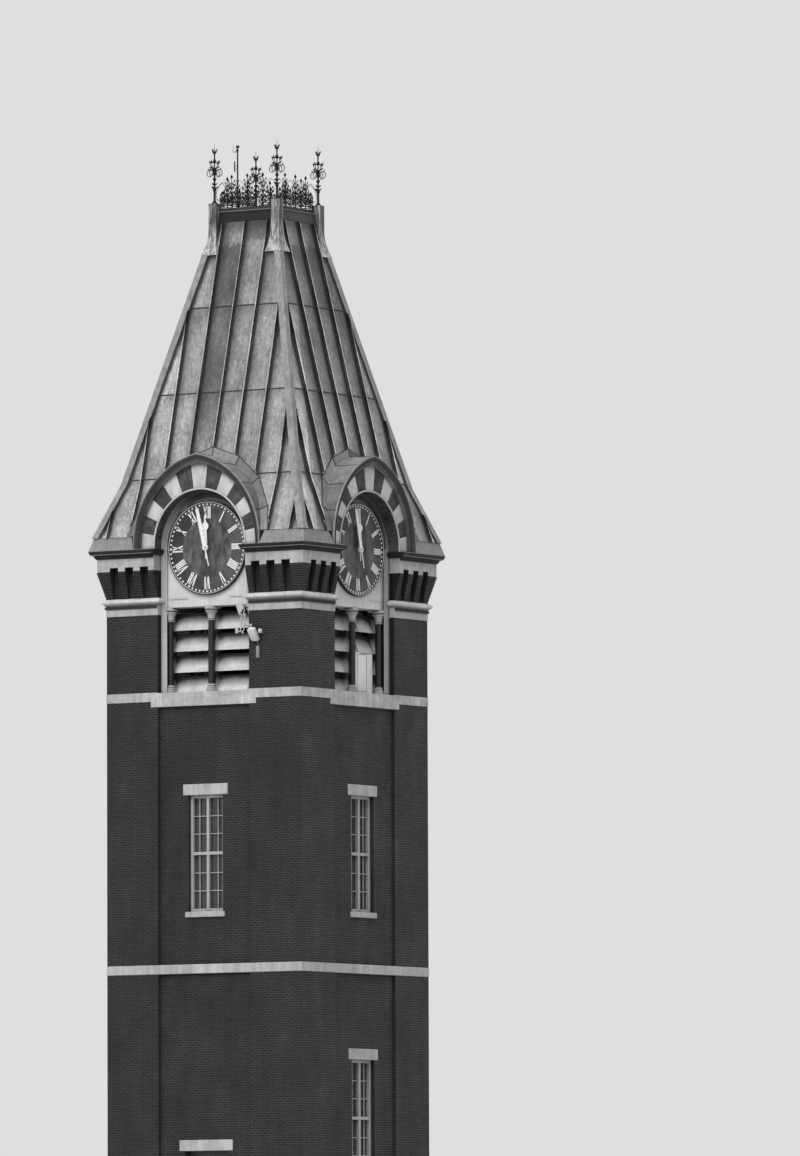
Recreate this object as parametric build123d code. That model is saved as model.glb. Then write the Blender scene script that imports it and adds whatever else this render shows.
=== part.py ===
"""Brick and stone clock tower with a tall metal roof, from the ground to its iron finials.

Millimetres, +Z up. The origin is the centre of the base, on the ground. The front is -Y.
Heights above the shaft are counted from the underside of the string course.
"""

import os
from math import cos, pi, radians, sin, sqrt

from build123d import *

# Plan of the tower
tower_width = 6800
bay_width = 3200
wall_thickness = 600
panel_recess = 100
stone_projection = 15
stone_bed = 200
seat_gap = 0.3

half = tower_width / 2
bay_half = bay_width / 2
room_half = half - wall_thickness
stone_face = half + stone_projection
panel_face = half - panel_recess
beyond = tower_width

# Shaft
plinth_height = 1100
plinth_projection = 100
plinth_weathering = 90
floor_thickness = 150
storey_band_level = 8200
band_height = 270
string_level = 18700
sill_band_drop = 2540
apron_drop = 2700
apron_sill_drop = 2290
apron_lap = 240

sill_level = string_level - apron_sill_drop
apron_level = string_level - apron_drop
band_level = string_level - sill_band_drop

# Doorway and windows of the shaft
door_width = 1500
door_height = 2900
door_setback = 260
door_thickness = 60
door_rail = 110
door_panel_depth = 20
door_panel_rows = 3
leaf_gap = 6
window_width = 1200
window_height = 3400
ground_window_level = 2300
upper_window_level = 10000
window_setback = 120
window_frame = 90
window_frame_depth = 110
glass_thickness = 8
lintel_height = 320
lintel_lap = 180
lintel_bed = 180
window_sill_height = 160
window_sill_nose = 60

# Corner courses above the shaft
string_height = 510
string_band_height = 280
string_nose = 120
string_nose_height = 50
corbel_height = 790
corbel_lean = 206
recess_start = 350
rib_pitch = 530
rib_count = 4
recess_width = 290
recess_depth = 60
recess_foot = 40
frieze_height = 470
notch_height = 120
cornice_height = 150
cornice_reach = 183
cornice_lip = 40
cornice_return = 110
flashing_height = 380
flashing_slope = 115
flashing_gap = 10

corbel_level = string_level + string_height
frieze_level = corbel_level + corbel_height
cornice_level = frieze_level + frieze_height
springing_level = cornice_level + cornice_height
eave_level = springing_level + flashing_height
frieze_face = half + corbel_lean
cornice_face = frieze_face + cornice_reach

# Arch and hood
arch_stilt = 100
arch_radius = bay_half
arch_face = frieze_face - 16
arch_depth = 600
voussoir_angle = 14.4
voussoir_count = 13
head_facet = voussoir_angle / 2
extrados_offset = 345
extrados_radius = 2385
hood_thickness = 160
hood_offset = 448
hood_reach = 183
hood_rim = 60
hood_rim_step = 45
hood_clear = 290

arch_centre = springing_level + arch_stilt
hood_half = extrados_radius - extrados_offset + hood_thickness
hood_face = arch_face + hood_reach

# Bay frame, dial and hands
jamb_depth = 184
frame_width = 150
frame_splay = 81
frame_land = 15
panel_face_depth = 300
panel_thickness = 80
lintel_underside = 220
lintel_depth = 200
dial_drop = 105
dial_radius = 1340
rim_width = 35
rim_proud = 25
dial_thickness = 80
arbor_radius = 24
arbor_length = 160
arbor_nut_radius = 40
arbor_nut_length = 20
bore_clearance = 0.5
hand_thickness = 14
hub_length = 30
hub_radius = 80
hub_sides = 20
hub_gap = 6
minute_hand_length = 1130
minute_hand_width = 120
minute_tail = 560
hour_hand_length = 960
hour_hand_width = 100
hour_bulb_radius = 118
hour_bulb_place = 0.65
hour_tail = 330
tail_width = 36
minutes_shown = 57.7

jamb_face = half - jamb_depth
opening_half = bay_half - frame_width
dial_back = half - panel_face_depth
dial_front = dial_back + dial_thickness
dial_level = arch_centre - dial_drop
lintel_level = string_level + lintel_underside

# Belfry opening
colonette_radius = 100
colonette_setback = 440
colonette_spread = 1433
base_height = 240
base_radius = 155
capital_height = 410
capital_radius = 158
turned_sides = 12
louvre_lap = 80
louvre_depth = 260
louvre_stile = 120
louvre_pitch = 615
louvre_count = 4
blade_thickness = 35
blade_rise = 520
hatch_rows = 2
hatch_thickness = 40
hatch_gap = 5

# Roof
eave_lap = 16
kink_height = 1590
kink_setback = 615
deck_half = 1110
roof_height = 9370
roof_thickness = 120
rib_spacing = 800
roof_rib_width = 45
roof_rib_height = 65
hip_cap_width = 190
hip_cap_height = 30
fascia_height = 310
fascia_half = 1080
fascia_thickness = 70
drip_reach = 30
drip_height = 25
curb_height = 95
curb_setback = 20
curb_width = 80
post_width = 265
post_face = 1234
post_height = 270
flare_width = 550
flare_lap = 45
flare_height = 800
flare_start = 170
flare_steps = 5

eave_half = cornice_face - flashing_slope + eave_lap
kink_half = eave_half - kink_setback
kink_level = eave_level + kink_height
deck_level = eave_level + roof_height
fascia_top = deck_level + fascia_height
curb_top = fascia_top + drip_height + curb_height
post_top = fascia_top + post_height
post_centre = post_face - post_width / 2
flare_top = deck_level - flare_start
flare_foot = flare_top - flare_height

# Ironwork
crest_height = 1020
crest_thickness = 20
crest_fleurons = 3
crest_rails = (90, 150)
crest_bar = 26
crest_end_gap = 15
crest_stem = 20
crest_tip = 64
crest_leaves = ((260, 120), (390, 110), (530, 120), (650, 80), (780, 90))
crest_small_height = 520
crest_small_leaves = ((260, 120), (370, 90))
crest_link_peak = 790
crest_link_bends = ((130, 700), (190, 620), (235, 500))
crest_link_foot = 420
iron_sides = 6
finial_height = 1810
finial_radius = 22
finial_foot_radius = 60
collar_radius = 48
collar_height = 515
ball_height = 1230
ball_radius = 42
scroll_height = 820
scroll_radius = 75
scroll_bar = 20
scroll_width = 290
finial_leaves = ((560, 90), (1050, 80))
trident_height = 1560
trident_width = 120
mast_place = (-600, -630)
mast_height = 1900
mast_radius = 22
mast_head_radius = 38
mast_head_height = 90
mast_arm = 160
mast_arm_drop = 150

# Small camera on the near pier
camera_drop = 800
camera_inset = 300
camera_plate = 100
camera_plate_height = 120
camera_arm = 40
camera_reach = 380
camera_width = 160
camera_height = 180
camera_length = 300
bracket_inset = 60
bracket_reach = 300
bracket_top_drop = 60
bracket_height = 720
bracket_bar = 40
bracket_plate = 120

SIDES = {"front": 0, "right": 90, "back": 180, "left": 270}


def block(x0, x1, y0, y1, z0, z1):
    """A box between two corners."""
    return Pos((x0 + x1) / 2, (y0 + y1) / 2, (z0 + z1) / 2) * Box(x1 - x0, y1 - y0, z1 - z0)


def square(size):
    """Corners of a square of this half-width about the tower's axis."""
    return [(-size, -size), (size, -size), (size, size), (-size, size)]


def stack(levels):
    """One flat-sided solid through plan outlines at rising heights: [(height, points), ...]."""
    rings = [[(x, y, z) for x, y in points] for z, points in levels]
    outlines = [rings[0], rings[-1]]
    for lower, upper in zip(rings, rings[1:]):
        for index, corner in enumerate(lower):
            after = (index + 1) % len(lower)
            outlines.append([corner, lower[after], upper[after], upper[index]])
    return Solid(Shell([Face(Wire.make_polygon(outline)) for outline in outlines]))


def turned(shape, angle):
    """The shape turned about the tower's axis."""
    return Rot(0, 0, angle) * shape


def on_all_sides(shape):
    """Four copies, one for each side or corner."""
    return [turned(shape, angle) for angle in SIDES.values()]


def save(name, *shapes):
    """Write one sub-part, as one solid or as several that stand apart."""
    solids = [solid for shape in shapes for solid in shape.solids()]
    model = solids[0] if len(solids) == 1 else Compound(solids)
    export_step(model, f"parts/{name}.step")


def upright(profile, face, depth):
    """Extrude a profile drawn in X and Z from its front face, back into the tower."""
    return extrude(Pos(0, -face, 0) * Rot(90, 0, 0) * profile, amount=-depth)


def corner_plan(out, into_bay=0, inner=room_half, start=bay_half, stop=jamb_face):
    """Plan of one L-shaped course on a corner, with its short return into the bay."""
    tip = start - into_bay
    if into_bay:
        return [(tip, -out), (out, -out), (out, -tip), (stop, -tip), (stop, -start), (inner, -start),
                (inner, -inner), (start, -inner), (start, -stop), (tip, -stop)]
    return [(start, -out), (out, -out), (out, -start), (inner, -start), (inner, -inner),
            (start, -inner)]


def head(half_width, offset, centre):
    """Corners of a round or two-centred head, from right to left, two facets to a voussoir."""
    radius = half_width + offset
    count = int(90 // head_facet)
    angles = [90] + [index * head_facet for index in range(count, -count - 1, -1)] + [-90]
    corners = []
    for angle in angles:
        turn = radians(angle)
        reach = sqrt(radius ** 2 - (offset * cos(turn)) ** 2) - offset * abs(sin(turn))
        corners.append((reach * sin(turn), centre + reach * cos(turn)))
    return corners


def opening(half_width, offset, foot, centre):
    """Face with upright sides under a round or pointed head."""
    corners = [(-half_width, foot), (half_width, foot)] + head(half_width, offset, centre)
    return make_face(Polyline(*corners, close=True))


def bands():
    """The stone storey band: a ring bedded in the wall."""
    low = storey_band_level
    ring = block(-stone_face, stone_face, -stone_face, stone_face, low, low + band_height)
    bed = half - stone_bed
    return ring - block(-bed, bed, -bed, bed, low - 1, low + band_height + 1)


def sill_course():
    """Band round the piers, fused with the deeper apron under each belfry opening."""
    bed = half - stone_bed
    ring = block(-stone_face, stone_face, -stone_face, stone_face, band_level, band_level + band_height)
    ring -= block(-bed, bed, -bed, bed, band_level - 1, band_level + band_height + 1)
    ends = bay_half + apron_lap
    for angle in SIDES.values():
        ring -= turned(block(-bay_half, bay_half, -beyond, 0, sill_level, sill_level + beyond), angle)
        ring += turned(block(-ends, ends, -stone_face, -bed, apron_level, sill_level), angle)
        ring += turned(block(-bay_half, bay_half, -bed, -room_half, apron_level, sill_level), angle)
    return ring


def plinth():
    """Stone base with a weathered top, open at the doorway over its threshold."""
    face = half + plinth_projection
    slope_start = plinth_height - plinth_weathering
    body = stack([(0, square(face)), (slope_start, square(face)), (plinth_height, square(half))])
    body -= block(-room_half, room_half, -room_half, room_half, -1, plinth_height + 1)
    side = door_width / 2
    return body - block(-side, side, -beyond, 0, floor_thickness, plinth_height + 1)


def lintel(width, head):
    """Stone beam over an opening, bedded in the panel of brickwork."""
    reach = width / 2 + lintel_lap
    face = panel_face + stone_projection
    return block(-reach, reach, -face, -(panel_face - lintel_bed), head, head + lintel_height)


def window_sill(level):
    """Stone sill under a window, through the depth of the reveal."""
    reach = window_width / 2 + lintel_lap / 2
    back = panel_face - window_setback
    return block(-reach, reach, -(panel_face + window_sill_nose), -back, level - window_sill_height, level)


def window(level):
    """Timber frame with a mullion and a meeting rail, and the sheet of glass behind it."""
    side = window_width / 2
    face = panel_face - window_setback
    back = face - window_frame_depth
    frame = block(-side, side, -face, -back, level, level + window_height)
    pane_height = (window_height - 3 * window_frame) / 2
    pane_half = (window_width - 3 * window_frame) / 2
    for row in range(2):
        foot = level + window_frame + row * (pane_height + window_frame)
        for edge in (-side + window_frame, window_frame / 2):
            frame -= block(edge, edge + pane_half, -beyond, 0, foot, foot + pane_height)
    edge = side - window_frame / 2
    glass = block(-edge, edge, -back, -(back - glass_thickness), level + window_frame / 2,
                  level + window_height - window_frame / 2)
    return frame, glass


def window_levels(side):
    """Window sills of one side: the front has its doorway in the ground storey."""
    return [upper_window_level] if side == "front" else [ground_window_level, upper_window_level]


def bay_wall(side):
    """Recessed brick panel between two piers, with its doorway or windows cut through."""
    wall = block(-bay_half, bay_half, -panel_face, -room_half, plinth_height, apron_level)
    for level in window_levels(side):
        reach = window_width / 2
        wall -= block(-reach, reach, -beyond, 0, level, level + window_height)
        wall -= lintel(window_width, level + window_height)
        wall -= window_sill(level)
    if side == "front":
        reach = door_width / 2
        head = floor_thickness + door_height
        wall -= block(-reach, reach, -beyond, 0, plinth_height - 1, head)
        wall -= lintel(door_width, head)
    return wall


def door():
    """Timber door in its frame: two leaves with sunk panels, built closed and fixed."""
    side = door_width / 2
    face = panel_face - door_setback
    foot = floor_thickness
    head = floor_thickness + door_height
    leaf = block(-side, side, -face, -(face - door_thickness), foot, head)
    panel_half = (side - 2 * door_rail) / 2
    panel_height = (door_height - (door_panel_rows + 1) * door_rail) / door_panel_rows
    sunk = face - door_panel_depth
    for row in range(door_panel_rows):
        low = foot + door_rail + row * (panel_height + door_rail)
        for centre in (-side / 2, side / 2):
            leaf -= block(centre - panel_half, centre + panel_half, -beyond, -sunk, low, low + panel_height)
    leaf -= block(-leaf_gap / 2, leaf_gap / 2, -beyond, -sunk, foot, head)
    return leaf


def corner_pier(courses):
    """L-shaped brick pier of one corner, from the plinth to the string course."""
    pier = stack([(plinth_height, corner_plan(half)), (string_level, corner_plan(half))])
    for course in courses:
        pier -= course
    return pier


def string_course():
    """Plain band and moulded nose on one corner."""
    nose = half + string_nose
    low = string_level + string_band_height
    middle = (low + corbel_level) / 2
    levels = [
        (string_level, stone_projection),
        (low, stone_projection),
        (low + string_nose / 3, string_nose / 3),
        (middle, string_nose),
        (middle + string_nose_height, string_nose),
        (corbel_level, stone_projection),
    ]
    return stack([(z, corner_plan(half + out, out)) for z, out in levels])


def recesses():
    """The dark slots between the ribs of the corbel table, on both faces of one corner."""
    slots = []
    for index in range(rib_count - 1):
        centre = bay_half + recess_start + index * rib_pitch
        slot = block(centre - recess_width / 2, centre + recess_width / 2, -beyond,
                     -(half - recess_depth), corbel_level + recess_foot, frieze_level + notch_height)
        slots.append(slot)
        slots.append(turned(mirror(slot, about=Plane.YZ), 90))
    return slots


def corbel_table(slots):
    """Brick ribs leaning out to the frieze on one corner."""
    levels = [(corbel_level, corner_plan(half)), (frieze_level, corner_plan(frieze_face))]
    course = stack(levels)
    for slot in slots:
        course -= slot
    return course


def frieze(slots):
    """Stone course over the ribs, notched over each recess."""
    course = stack([(frieze_level, corner_plan(frieze_face)), (cornice_level, corner_plan(frieze_face))])
    for slot in slots:
        course -= slot
    return course


def cornice():
    """Moulded gutter of one corner, returning into the bay under the arch."""
    lower = cornice_level + cornice_lip
    upper = springing_level - cornice_lip
    middle = cornice_reach * 0.8
    levels = [
        (cornice_level, middle * 0.45, cornice_return * 0.5),
        (lower, middle, cornice_return * 0.8),
        (upper, cornice_reach, cornice_return),
        (springing_level, cornice_reach, cornice_return),
    ]
    return stack([(z, corner_plan(frieze_face + out, into)) for z, out, into in levels])


def eaves_flashing():
    """Sloped metal foot of the roof on one corner, hipped beside the hood."""
    inner = half
    start = hood_half + flashing_gap
    lower = corner_plan(cornice_face, 0, inner, start)
    upper = corner_plan(cornice_face - flashing_slope, 0, inner, start + flashing_slope)
    return stack([(springing_level, lower), (eave_level, upper)])


def arch():
    """Voussoirs of one arch, in order round the head: stone at both ends and at the crown."""
    face = opening(extrados_radius - extrados_offset, extrados_offset, springing_level, arch_centre)
    face -= opening(arch_radius, 0, springing_level - 1, arch_centre)
    ring = upright(face, arch_face, arch_depth)
    pieces = []
    for index in range(voussoir_count):
        turn = (index - (voussoir_count - 1) / 2) * voussoir_angle
        first = turn - voussoir_angle / 2
        last = turn + voussoir_angle / 2
        first_point = (beyond * sin(radians(first)), arch_centre + beyond * cos(radians(first)))
        last_point = (beyond * sin(radians(last)), arch_centre + beyond * cos(radians(last)))
        corners = [(0, arch_centre), first_point, last_point]
        if index == 0:
            corners = [(0, arch_centre), (0, 0), (-beyond, 0), (-beyond, arch_centre), last_point]
        if index == voussoir_count - 1:
            corners = [(0, arch_centre), first_point, (beyond, arch_centre), (beyond, 0), (0, 0)]
        wedge = upright(make_face(Polyline(*corners, close=True)), arch_face + 1, arch_depth + 2)
        pieces.append(ring & wedge)
    return pieces[0::2], pieces[1::2]


def dial_panel():
    """Splayed frame of one bay with the panel behind the dial and the lintel of the opening."""
    outer = bay_half - seat_gap
    splay_back = jamb_face - frame_splay
    depth = splay_back - dial_back + panel_thickness
    body = upright(opening(outer, 0, sill_level, arch_centre), splay_back, depth)
    inside = opening(opening_half, 0, sill_level - 1, arch_centre)
    body -= upright(inside, splay_back, splay_back - dial_back)
    body -= block(-opening_half, opening_half, -beyond, 0, sill_level - 1, lintel_level)
    body -= block(-beyond, beyond, -splay_back, 0, sill_level - 1, lintel_level)

    rings = []
    for half_width, face in ((outer, splay_back), (outer, jamb_face), (outer - frame_land, jamb_face),
                             (opening_half, splay_back)):
        line = [(half_width, sill_level)] + head(half_width, 0, arch_centre) + [(-half_width, sill_level)]
        rings.append([(x, -face, z) for x, z in line])
    outlines = [[ring[0] for ring in rings], [ring[-1] for ring in rings]]
    for first, second in zip(rings, rings[1:] + rings[:1]):
        for index in range(len(first) - 1):
            outlines.append([first[index], first[index + 1], second[index + 1], second[index]])
    body += Solid(Shell([Face(Wire.make_polygon(outline)) for outline in outlines]))

    beam_back = dial_back - panel_thickness
    body += block(-outer, outer, -beam_back, -(beam_back - lintel_depth), lintel_level,
                  lintel_level + lintel_depth)
    return body


def dial():
    """Round face with a moulded rim and the fixed arbor that carries both hands."""
    place = Pos(0, 0, dial_level)
    sides = int(360 / head_facet)
    face = upright(RegularPolygon(dial_radius, sides), dial_front, dial_thickness)
    rim = RegularPolygon(dial_radius + rim_width, sides) - RegularPolygon(dial_radius - rim_width, sides)
    rim = upright(rim, dial_front + rim_proud, dial_thickness + rim_proud)
    tip = dial_front + arbor_length
    arbor = upright(Circle(arbor_radius), tip, arbor_length + 1)
    nut = upright(RegularPolygon(arbor_nut_radius, 6), tip, arbor_nut_length)
    return place * (face + rim + arbor + nut)


def hand_outline(length, width, tail):
    """Tapered blade with a round boss and a thin counterpoise tail, pointing up."""
    blade = make_face(Polyline((-width / 2, 0), (-width * 0.32, length * 0.82), (0, length),
                               (width * 0.32, length * 0.82), (width / 2, 0), close=True))
    back = make_face(Polyline((-tail_width, 0), (-tail_width / 3, -tail), (tail_width / 3, -tail),
                              (tail_width, 0), close=True))
    return blade + back + RegularPolygon(hub_radius, hub_sides)


def hand(outline, hub_face, angle):
    """One hand on its hub, bored to turn on the arbor and set to the time shown."""
    blade = upright(outline, hub_face, hand_thickness)
    hub = upright(RegularPolygon(hub_radius, hub_sides), hub_face, hub_length)
    bore = upright(Circle(arbor_radius + bore_clearance), hub_face + 1, hub_length + 2)
    return Pos(0, 0, dial_level) * Rot(0, angle, 0) * (blade + hub - bore)


def minute_hand():
    """Long hand, in front."""
    face = dial_front + arbor_length - arbor_nut_length - hub_gap
    return hand(hand_outline(minute_hand_length, minute_hand_width, minute_tail), face, minutes_shown * 6)


def hour_hand():
    """Short hand with a round bulb before its point, behind the long one."""
    outline = hand_outline(hour_hand_length, hour_hand_width, hour_tail)
    outline += Pos(0, hour_hand_length * hour_bulb_place) * RegularPolygon(hour_bulb_radius, hub_sides)
    face = dial_front + arbor_length - arbor_nut_length - 2 * hub_gap - hub_length
    return hand(outline, face, (11 + minutes_shown / 60) * 30)


def turned_piece(profile, place, level, sides):
    """Turned piece from points of radius and height, cut with this many sides, set at a place."""
    turns = [2 * pi * (index + 0.5) / sides for index in range(sides)]
    levels = []
    for radius, height in profile:
        levels.append((height, [(radius * cos(turn), radius * sin(turn)) for turn in turns]))
    return Pos(place[0], place[1], level) * stack(levels)


def colonettes():
    """Shafts, capitals and bases of the three colonettes in one bay."""
    axis = -(half - colonette_setback)
    shaft_foot = sill_level + base_height
    shaft_head = lintel_level - capital_height
    wide = base_radius
    thin = colonette_radius
    base = [(wide, 0), (wide, base_height * 0.45), (thin * 1.2, base_height * 0.65),
            (thin * 1.1, base_height)]
    capital = [(thin * 1.25, 0), (thin * 1.1, capital_height * 0.14), (thin * 1.15, capital_height * 0.5),
               (capital_radius, capital_height * 0.8), (capital_radius, capital_height)]
    shafts = []
    stones = []
    for x in (-colonette_spread, 0, colonette_spread):
        place = (x, axis)
        shaft = [(thin, 0), (thin, shaft_head - shaft_foot)]
        shafts.append(turned_piece(shaft, place, shaft_foot, turned_sides))
        stones.append(turned_piece(base, place, sill_level, turned_sides))
        stones.append(turned_piece(capital, place, shaft_head, turned_sides))
    return shafts, stones


def louvres():
    """Frame with sloping blades, standing on the belfry floor behind one opening."""
    reach = bay_half + louvre_lap
    front = room_half
    back = room_half - louvre_depth
    top = lintel_level + louvre_lap
    frame = block(-reach, reach, -front, -back, sill_level, top)
    clear = reach - louvre_lap - louvre_stile
    for side in (-1, 1):
        edges = sorted((side * louvre_stile / 2, side * clear))
        frame -= block(edges[0], edges[1], -beyond, 0, sill_level - 1, top - louvre_lap)
    tilt = louvre_depth - blade_thickness
    for row in range(louvre_count):
        lip = sill_level + row * louvre_pitch
        profile = Polyline((-front, lip), (-front + blade_thickness, lip),
                           (-front + blade_thickness + tilt, lip + blade_rise),
                           (-front + tilt, lip + blade_rise), close=True)
        blade = extrude(make_face(Plane.YZ * profile), amount=clear, both=True)
        frame += blade
    return frame


def hatch():
    """Plain panel over the lower blades of one half of the right-hand opening."""
    low = sill_level
    high = sill_level + hatch_rows * louvre_pitch
    edge = base_radius + hatch_gap
    end = colonette_spread - base_radius - hatch_gap
    return block(edge, end, -(room_half + hatch_thickness), -room_half, low, high)


def roof_outlines(grow=0):
    """Plan squares of the roof at the eave, at the kink and at the deck."""
    return [(eave_level, square(eave_half + grow)), (kink_level, square(kink_half + grow)),
            (deck_level, square(deck_half + grow))]


def hip_field():
    """Everything on the slopes that lies between the hip caps of front and back."""
    levels = []
    for height, size in ((eave_level, eave_half), (kink_level, kink_half), (deck_level, deck_half)):
        reach = size - hip_cap_width
        levels.append((height, [(-reach, -beyond), (reach, -beyond), (reach, beyond), (-reach, beyond)]))
    return stack(levels)


def hood_prism(grow):
    """Solid under the outside of one hood, grown by this much."""
    profile = opening(hood_half + grow, hood_offset, springing_level - 1, arch_centre)
    return upright(profile, beyond, beyond)


def roof_slope(outer, inner):
    """One metal slope with its standing ribs, open under the hood."""
    wedge = extrude(make_face(Polyline((0, 0), (beyond, -beyond), (-beyond, -beyond), close=True)),
                    amount=beyond * 5)
    slope = (outer - inner) & wedge
    slope -= hood_prism(seat_gap)
    rib_shell = stack(roof_outlines(roof_rib_height)) - outer
    field = hip_field()
    count = int((eave_half - hip_cap_width) // rib_spacing)
    cut = hood_prism(hood_clear)
    for index in range(-count, count + 1):
        x = index * rib_spacing
        strip = block(x - roof_rib_width / 2, x + roof_rib_width / 2, -beyond, 0, eave_level, deck_level)
        rib = ((rib_shell & strip) & field) - cut
        if rib.solids():
            slope += rib
    return slope


def hip_caps(outer):
    """Four strips folded over the hips, up to the feet of the deck posts."""
    shell = stack(roof_outlines(hip_cap_height)) - outer
    shell -= block(-beyond, beyond, -beyond, beyond, flare_foot, deck_level + 1)
    field = hip_field()
    return shell - field - turned(field, 90)


def hood(inner):
    """Pointed metal vault over one arch, running back into the slope behind it."""
    span = extrados_radius - extrados_offset
    lining = opening(span + seat_gap, extrados_offset, springing_level - 1, arch_centre)
    cover = opening(hood_half, hood_offset, springing_level, arch_centre)
    shell = upright(cover - lining, hood_face - hood_rim_step, hood_face)
    rim = cover - opening(hood_half - hood_rim, hood_offset, springing_level - 1, arch_centre)
    shell += upright(rim, hood_face, hood_rim_step)
    shell -= block(-beyond, beyond, -half, beyond, springing_level - 1, eave_level + 1)
    return shell - inner


def corner_post(roof):
    """Square post of the deck, flaring out over the hip at its foot."""
    levels = []
    slope = (kink_half - deck_half) / (deck_level - kink_level)
    flare_face = deck_half + (deck_level - flare_foot) * slope + flare_lap
    for step in range(flare_steps + 1):
        share = (1 - step / flare_steps) ** 2
        face = post_face + (flare_face - post_face) * share
        back = face - post_width - (flare_width - post_width) * share
        height = flare_foot + flare_height * step / flare_steps
        levels.append((height, [(back, -face), (face, -face), (face, -back), (back, -back)]))
    back = post_face - post_width
    top = [(back, -post_face), (post_face, -post_face), (post_face, -back), (back, -back)]
    levels.append((post_top, top))
    return stack(levels) - roof


def roof_deck():
    """Fascia, deck, drip lip and curb in one."""
    inner = fascia_half - fascia_thickness
    deck = block(-fascia_half, fascia_half, -fascia_half, fascia_half, deck_level, fascia_top)
    deck -= block(-inner, inner, -inner, inner, deck_level - 1, fascia_top - fascia_thickness)
    drip = fascia_half + drip_reach
    deck += block(-drip, drip, -drip, drip, fascia_top, fascia_top + drip_height)
    curb = fascia_half - curb_setback
    ring = block(-curb, curb, -curb, curb, fascia_top + drip_height, curb_top)
    inside = curb - curb_width
    ring -= block(-inside, inside, -inside, inside, fascia_top, curb_top + 1)
    return deck + ring


def lozenge(x, z, width):
    """Small flat leaf on the ironwork, a square set on its corner."""
    return Pos(x, z) * Rot(0, 0, 45) * Rectangle(width, width)


def fleuron(height, leaves):
    """Upright leafy ornament of the cresting: a stem with leaves at these heights and a bud on top."""
    stem = height - crest_tip
    profile = Pos(0, stem / 2) * Rectangle(crest_stem, stem)
    for level, width in leaves:
        profile += lozenge(0, level, width)
    return profile + lozenge(0, stem, crest_tip)


def crest_link(side):
    """Thin pointed link that joins two fleurons this far to its left and right."""
    bends = [*crest_link_bends, (side, crest_link_foot)]
    left = [(-x, z) for x, z in reversed(bends)]
    inner = [(x - crest_bar, z) for x, z in reversed(bends)]
    back = [(crest_bar - x, z) for x, z in bends]
    peak = [(0, crest_link_peak)]
    points = left + peak + bends + inner + [(0, crest_link_peak - crest_bar)] + back
    return make_face(Polyline(*points, close=True))


def crest_panel():
    """One side of the cresting: two rails on feet, tall fleurons, and small ones under pointed links."""
    reach = post_face - post_width - crest_end_gap
    pitch = 2 * post_centre / (crest_fleurons + 1)
    foot = crest_rails[-1]
    profile = Pos(0, foot) * Rectangle(2 * reach, crest_bar)
    profile += Pos(0, crest_rails[0]) * Rectangle(2 * reach, crest_bar)
    for x in (crest_bar / 2 - reach, reach - crest_bar / 2):
        profile += Pos(x, foot / 2) * Rectangle(crest_bar, foot)
    for index in range(crest_fleurons):
        profile += Pos((index + 1) * pitch - post_centre, 0) * fleuron(crest_height, crest_leaves)
    for index in range(crest_fleurons + 1):
        centre = Pos((index + 0.5) * pitch - post_centre, 0)
        profile += centre * fleuron(crest_small_height, crest_small_leaves)
        profile += centre * crest_link(pitch / 2)
    profile &= Pos(0, crest_height / 2) * Rectangle(2 * reach, crest_height)
    face = fascia_half - curb_setback - curb_width / 2 + crest_thickness / 2
    return upright(Pos(0, curb_top) * profile, face, crest_thickness)


def finial():
    """Corner finial: turned stem and spike with flat scrolls across it."""
    thin = finial_radius
    stem = [
        (finial_foot_radius, 0),
        (finial_foot_radius, finial_foot_radius / 2),
        (thin, 2 * finial_foot_radius),
        (thin, collar_height - collar_radius),
        (collar_radius, collar_height),
        (thin, collar_height + collar_radius),
        (thin * 0.8, ball_height - ball_radius),
        (ball_radius, ball_height),
        (thin * 0.7, ball_height + ball_radius),
        (thin * 0.5, trident_height),
        (thin * 0.2, finial_height),
    ]
    place = (post_centre, -post_centre)
    body = turned_piece(stem, place, post_top, iron_sides)
    ring = RegularPolygon(scroll_radius, iron_sides) - RegularPolygon(scroll_radius - scroll_bar, iron_sides)
    offset = scroll_width / 2 - scroll_radius
    profile = Pos(-offset, scroll_height) * ring + Pos(offset, scroll_height) * ring
    profile += Pos(0, scroll_height + scroll_radius) * Rectangle(2 * offset + scroll_radius, scroll_bar)
    profile += Pos(0, trident_height) * Rectangle(trident_width, scroll_bar)
    for height, size in finial_leaves:
        profile += lozenge(0, height, size)
    plate = Rot(0, 0, 45) * upright(Pos(0, post_top) * profile, crest_thickness / 2, crest_thickness)
    return body + Pos(place[0], place[1], 0) * plate


def mast():
    """Thin pole on the deck with a short arm under its head."""
    x, y = mast_place
    foot = fascia_top + drip_height
    top = foot + mast_height
    pole = Pos(x, y, foot + mast_height / 2) * Cylinder(mast_radius, mast_height)
    low = top - mast_arm_drop
    arm = block(x - mast_arm, x, y - mast_radius / 2, y + mast_radius / 2, low - mast_radius, low)
    head = Pos(x, y, top) * Cylinder(mast_head_radius, mast_head_height)
    return pole + arm + head


def wall_camera():
    """Small camera housing on its bracket, on the near pier beside the belfry opening."""
    level = string_level - camera_drop
    x = bay_half + camera_inset
    side = camera_plate / 2
    wide = camera_width / 2
    thin = camera_arm / 2
    back = half + camera_reach - camera_length
    low = level - camera_plate_height / 2
    plate = block(x - side, x + side, -half - thin, -half, low, low + camera_plate_height)
    arm = block(x - thin, x + thin, -back, -half, level - thin, level + thin)
    body = block(x - wide, x + wide, -half - camera_reach, -back, level - thin, level - thin + camera_height)
    return plate + arm + body


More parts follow.
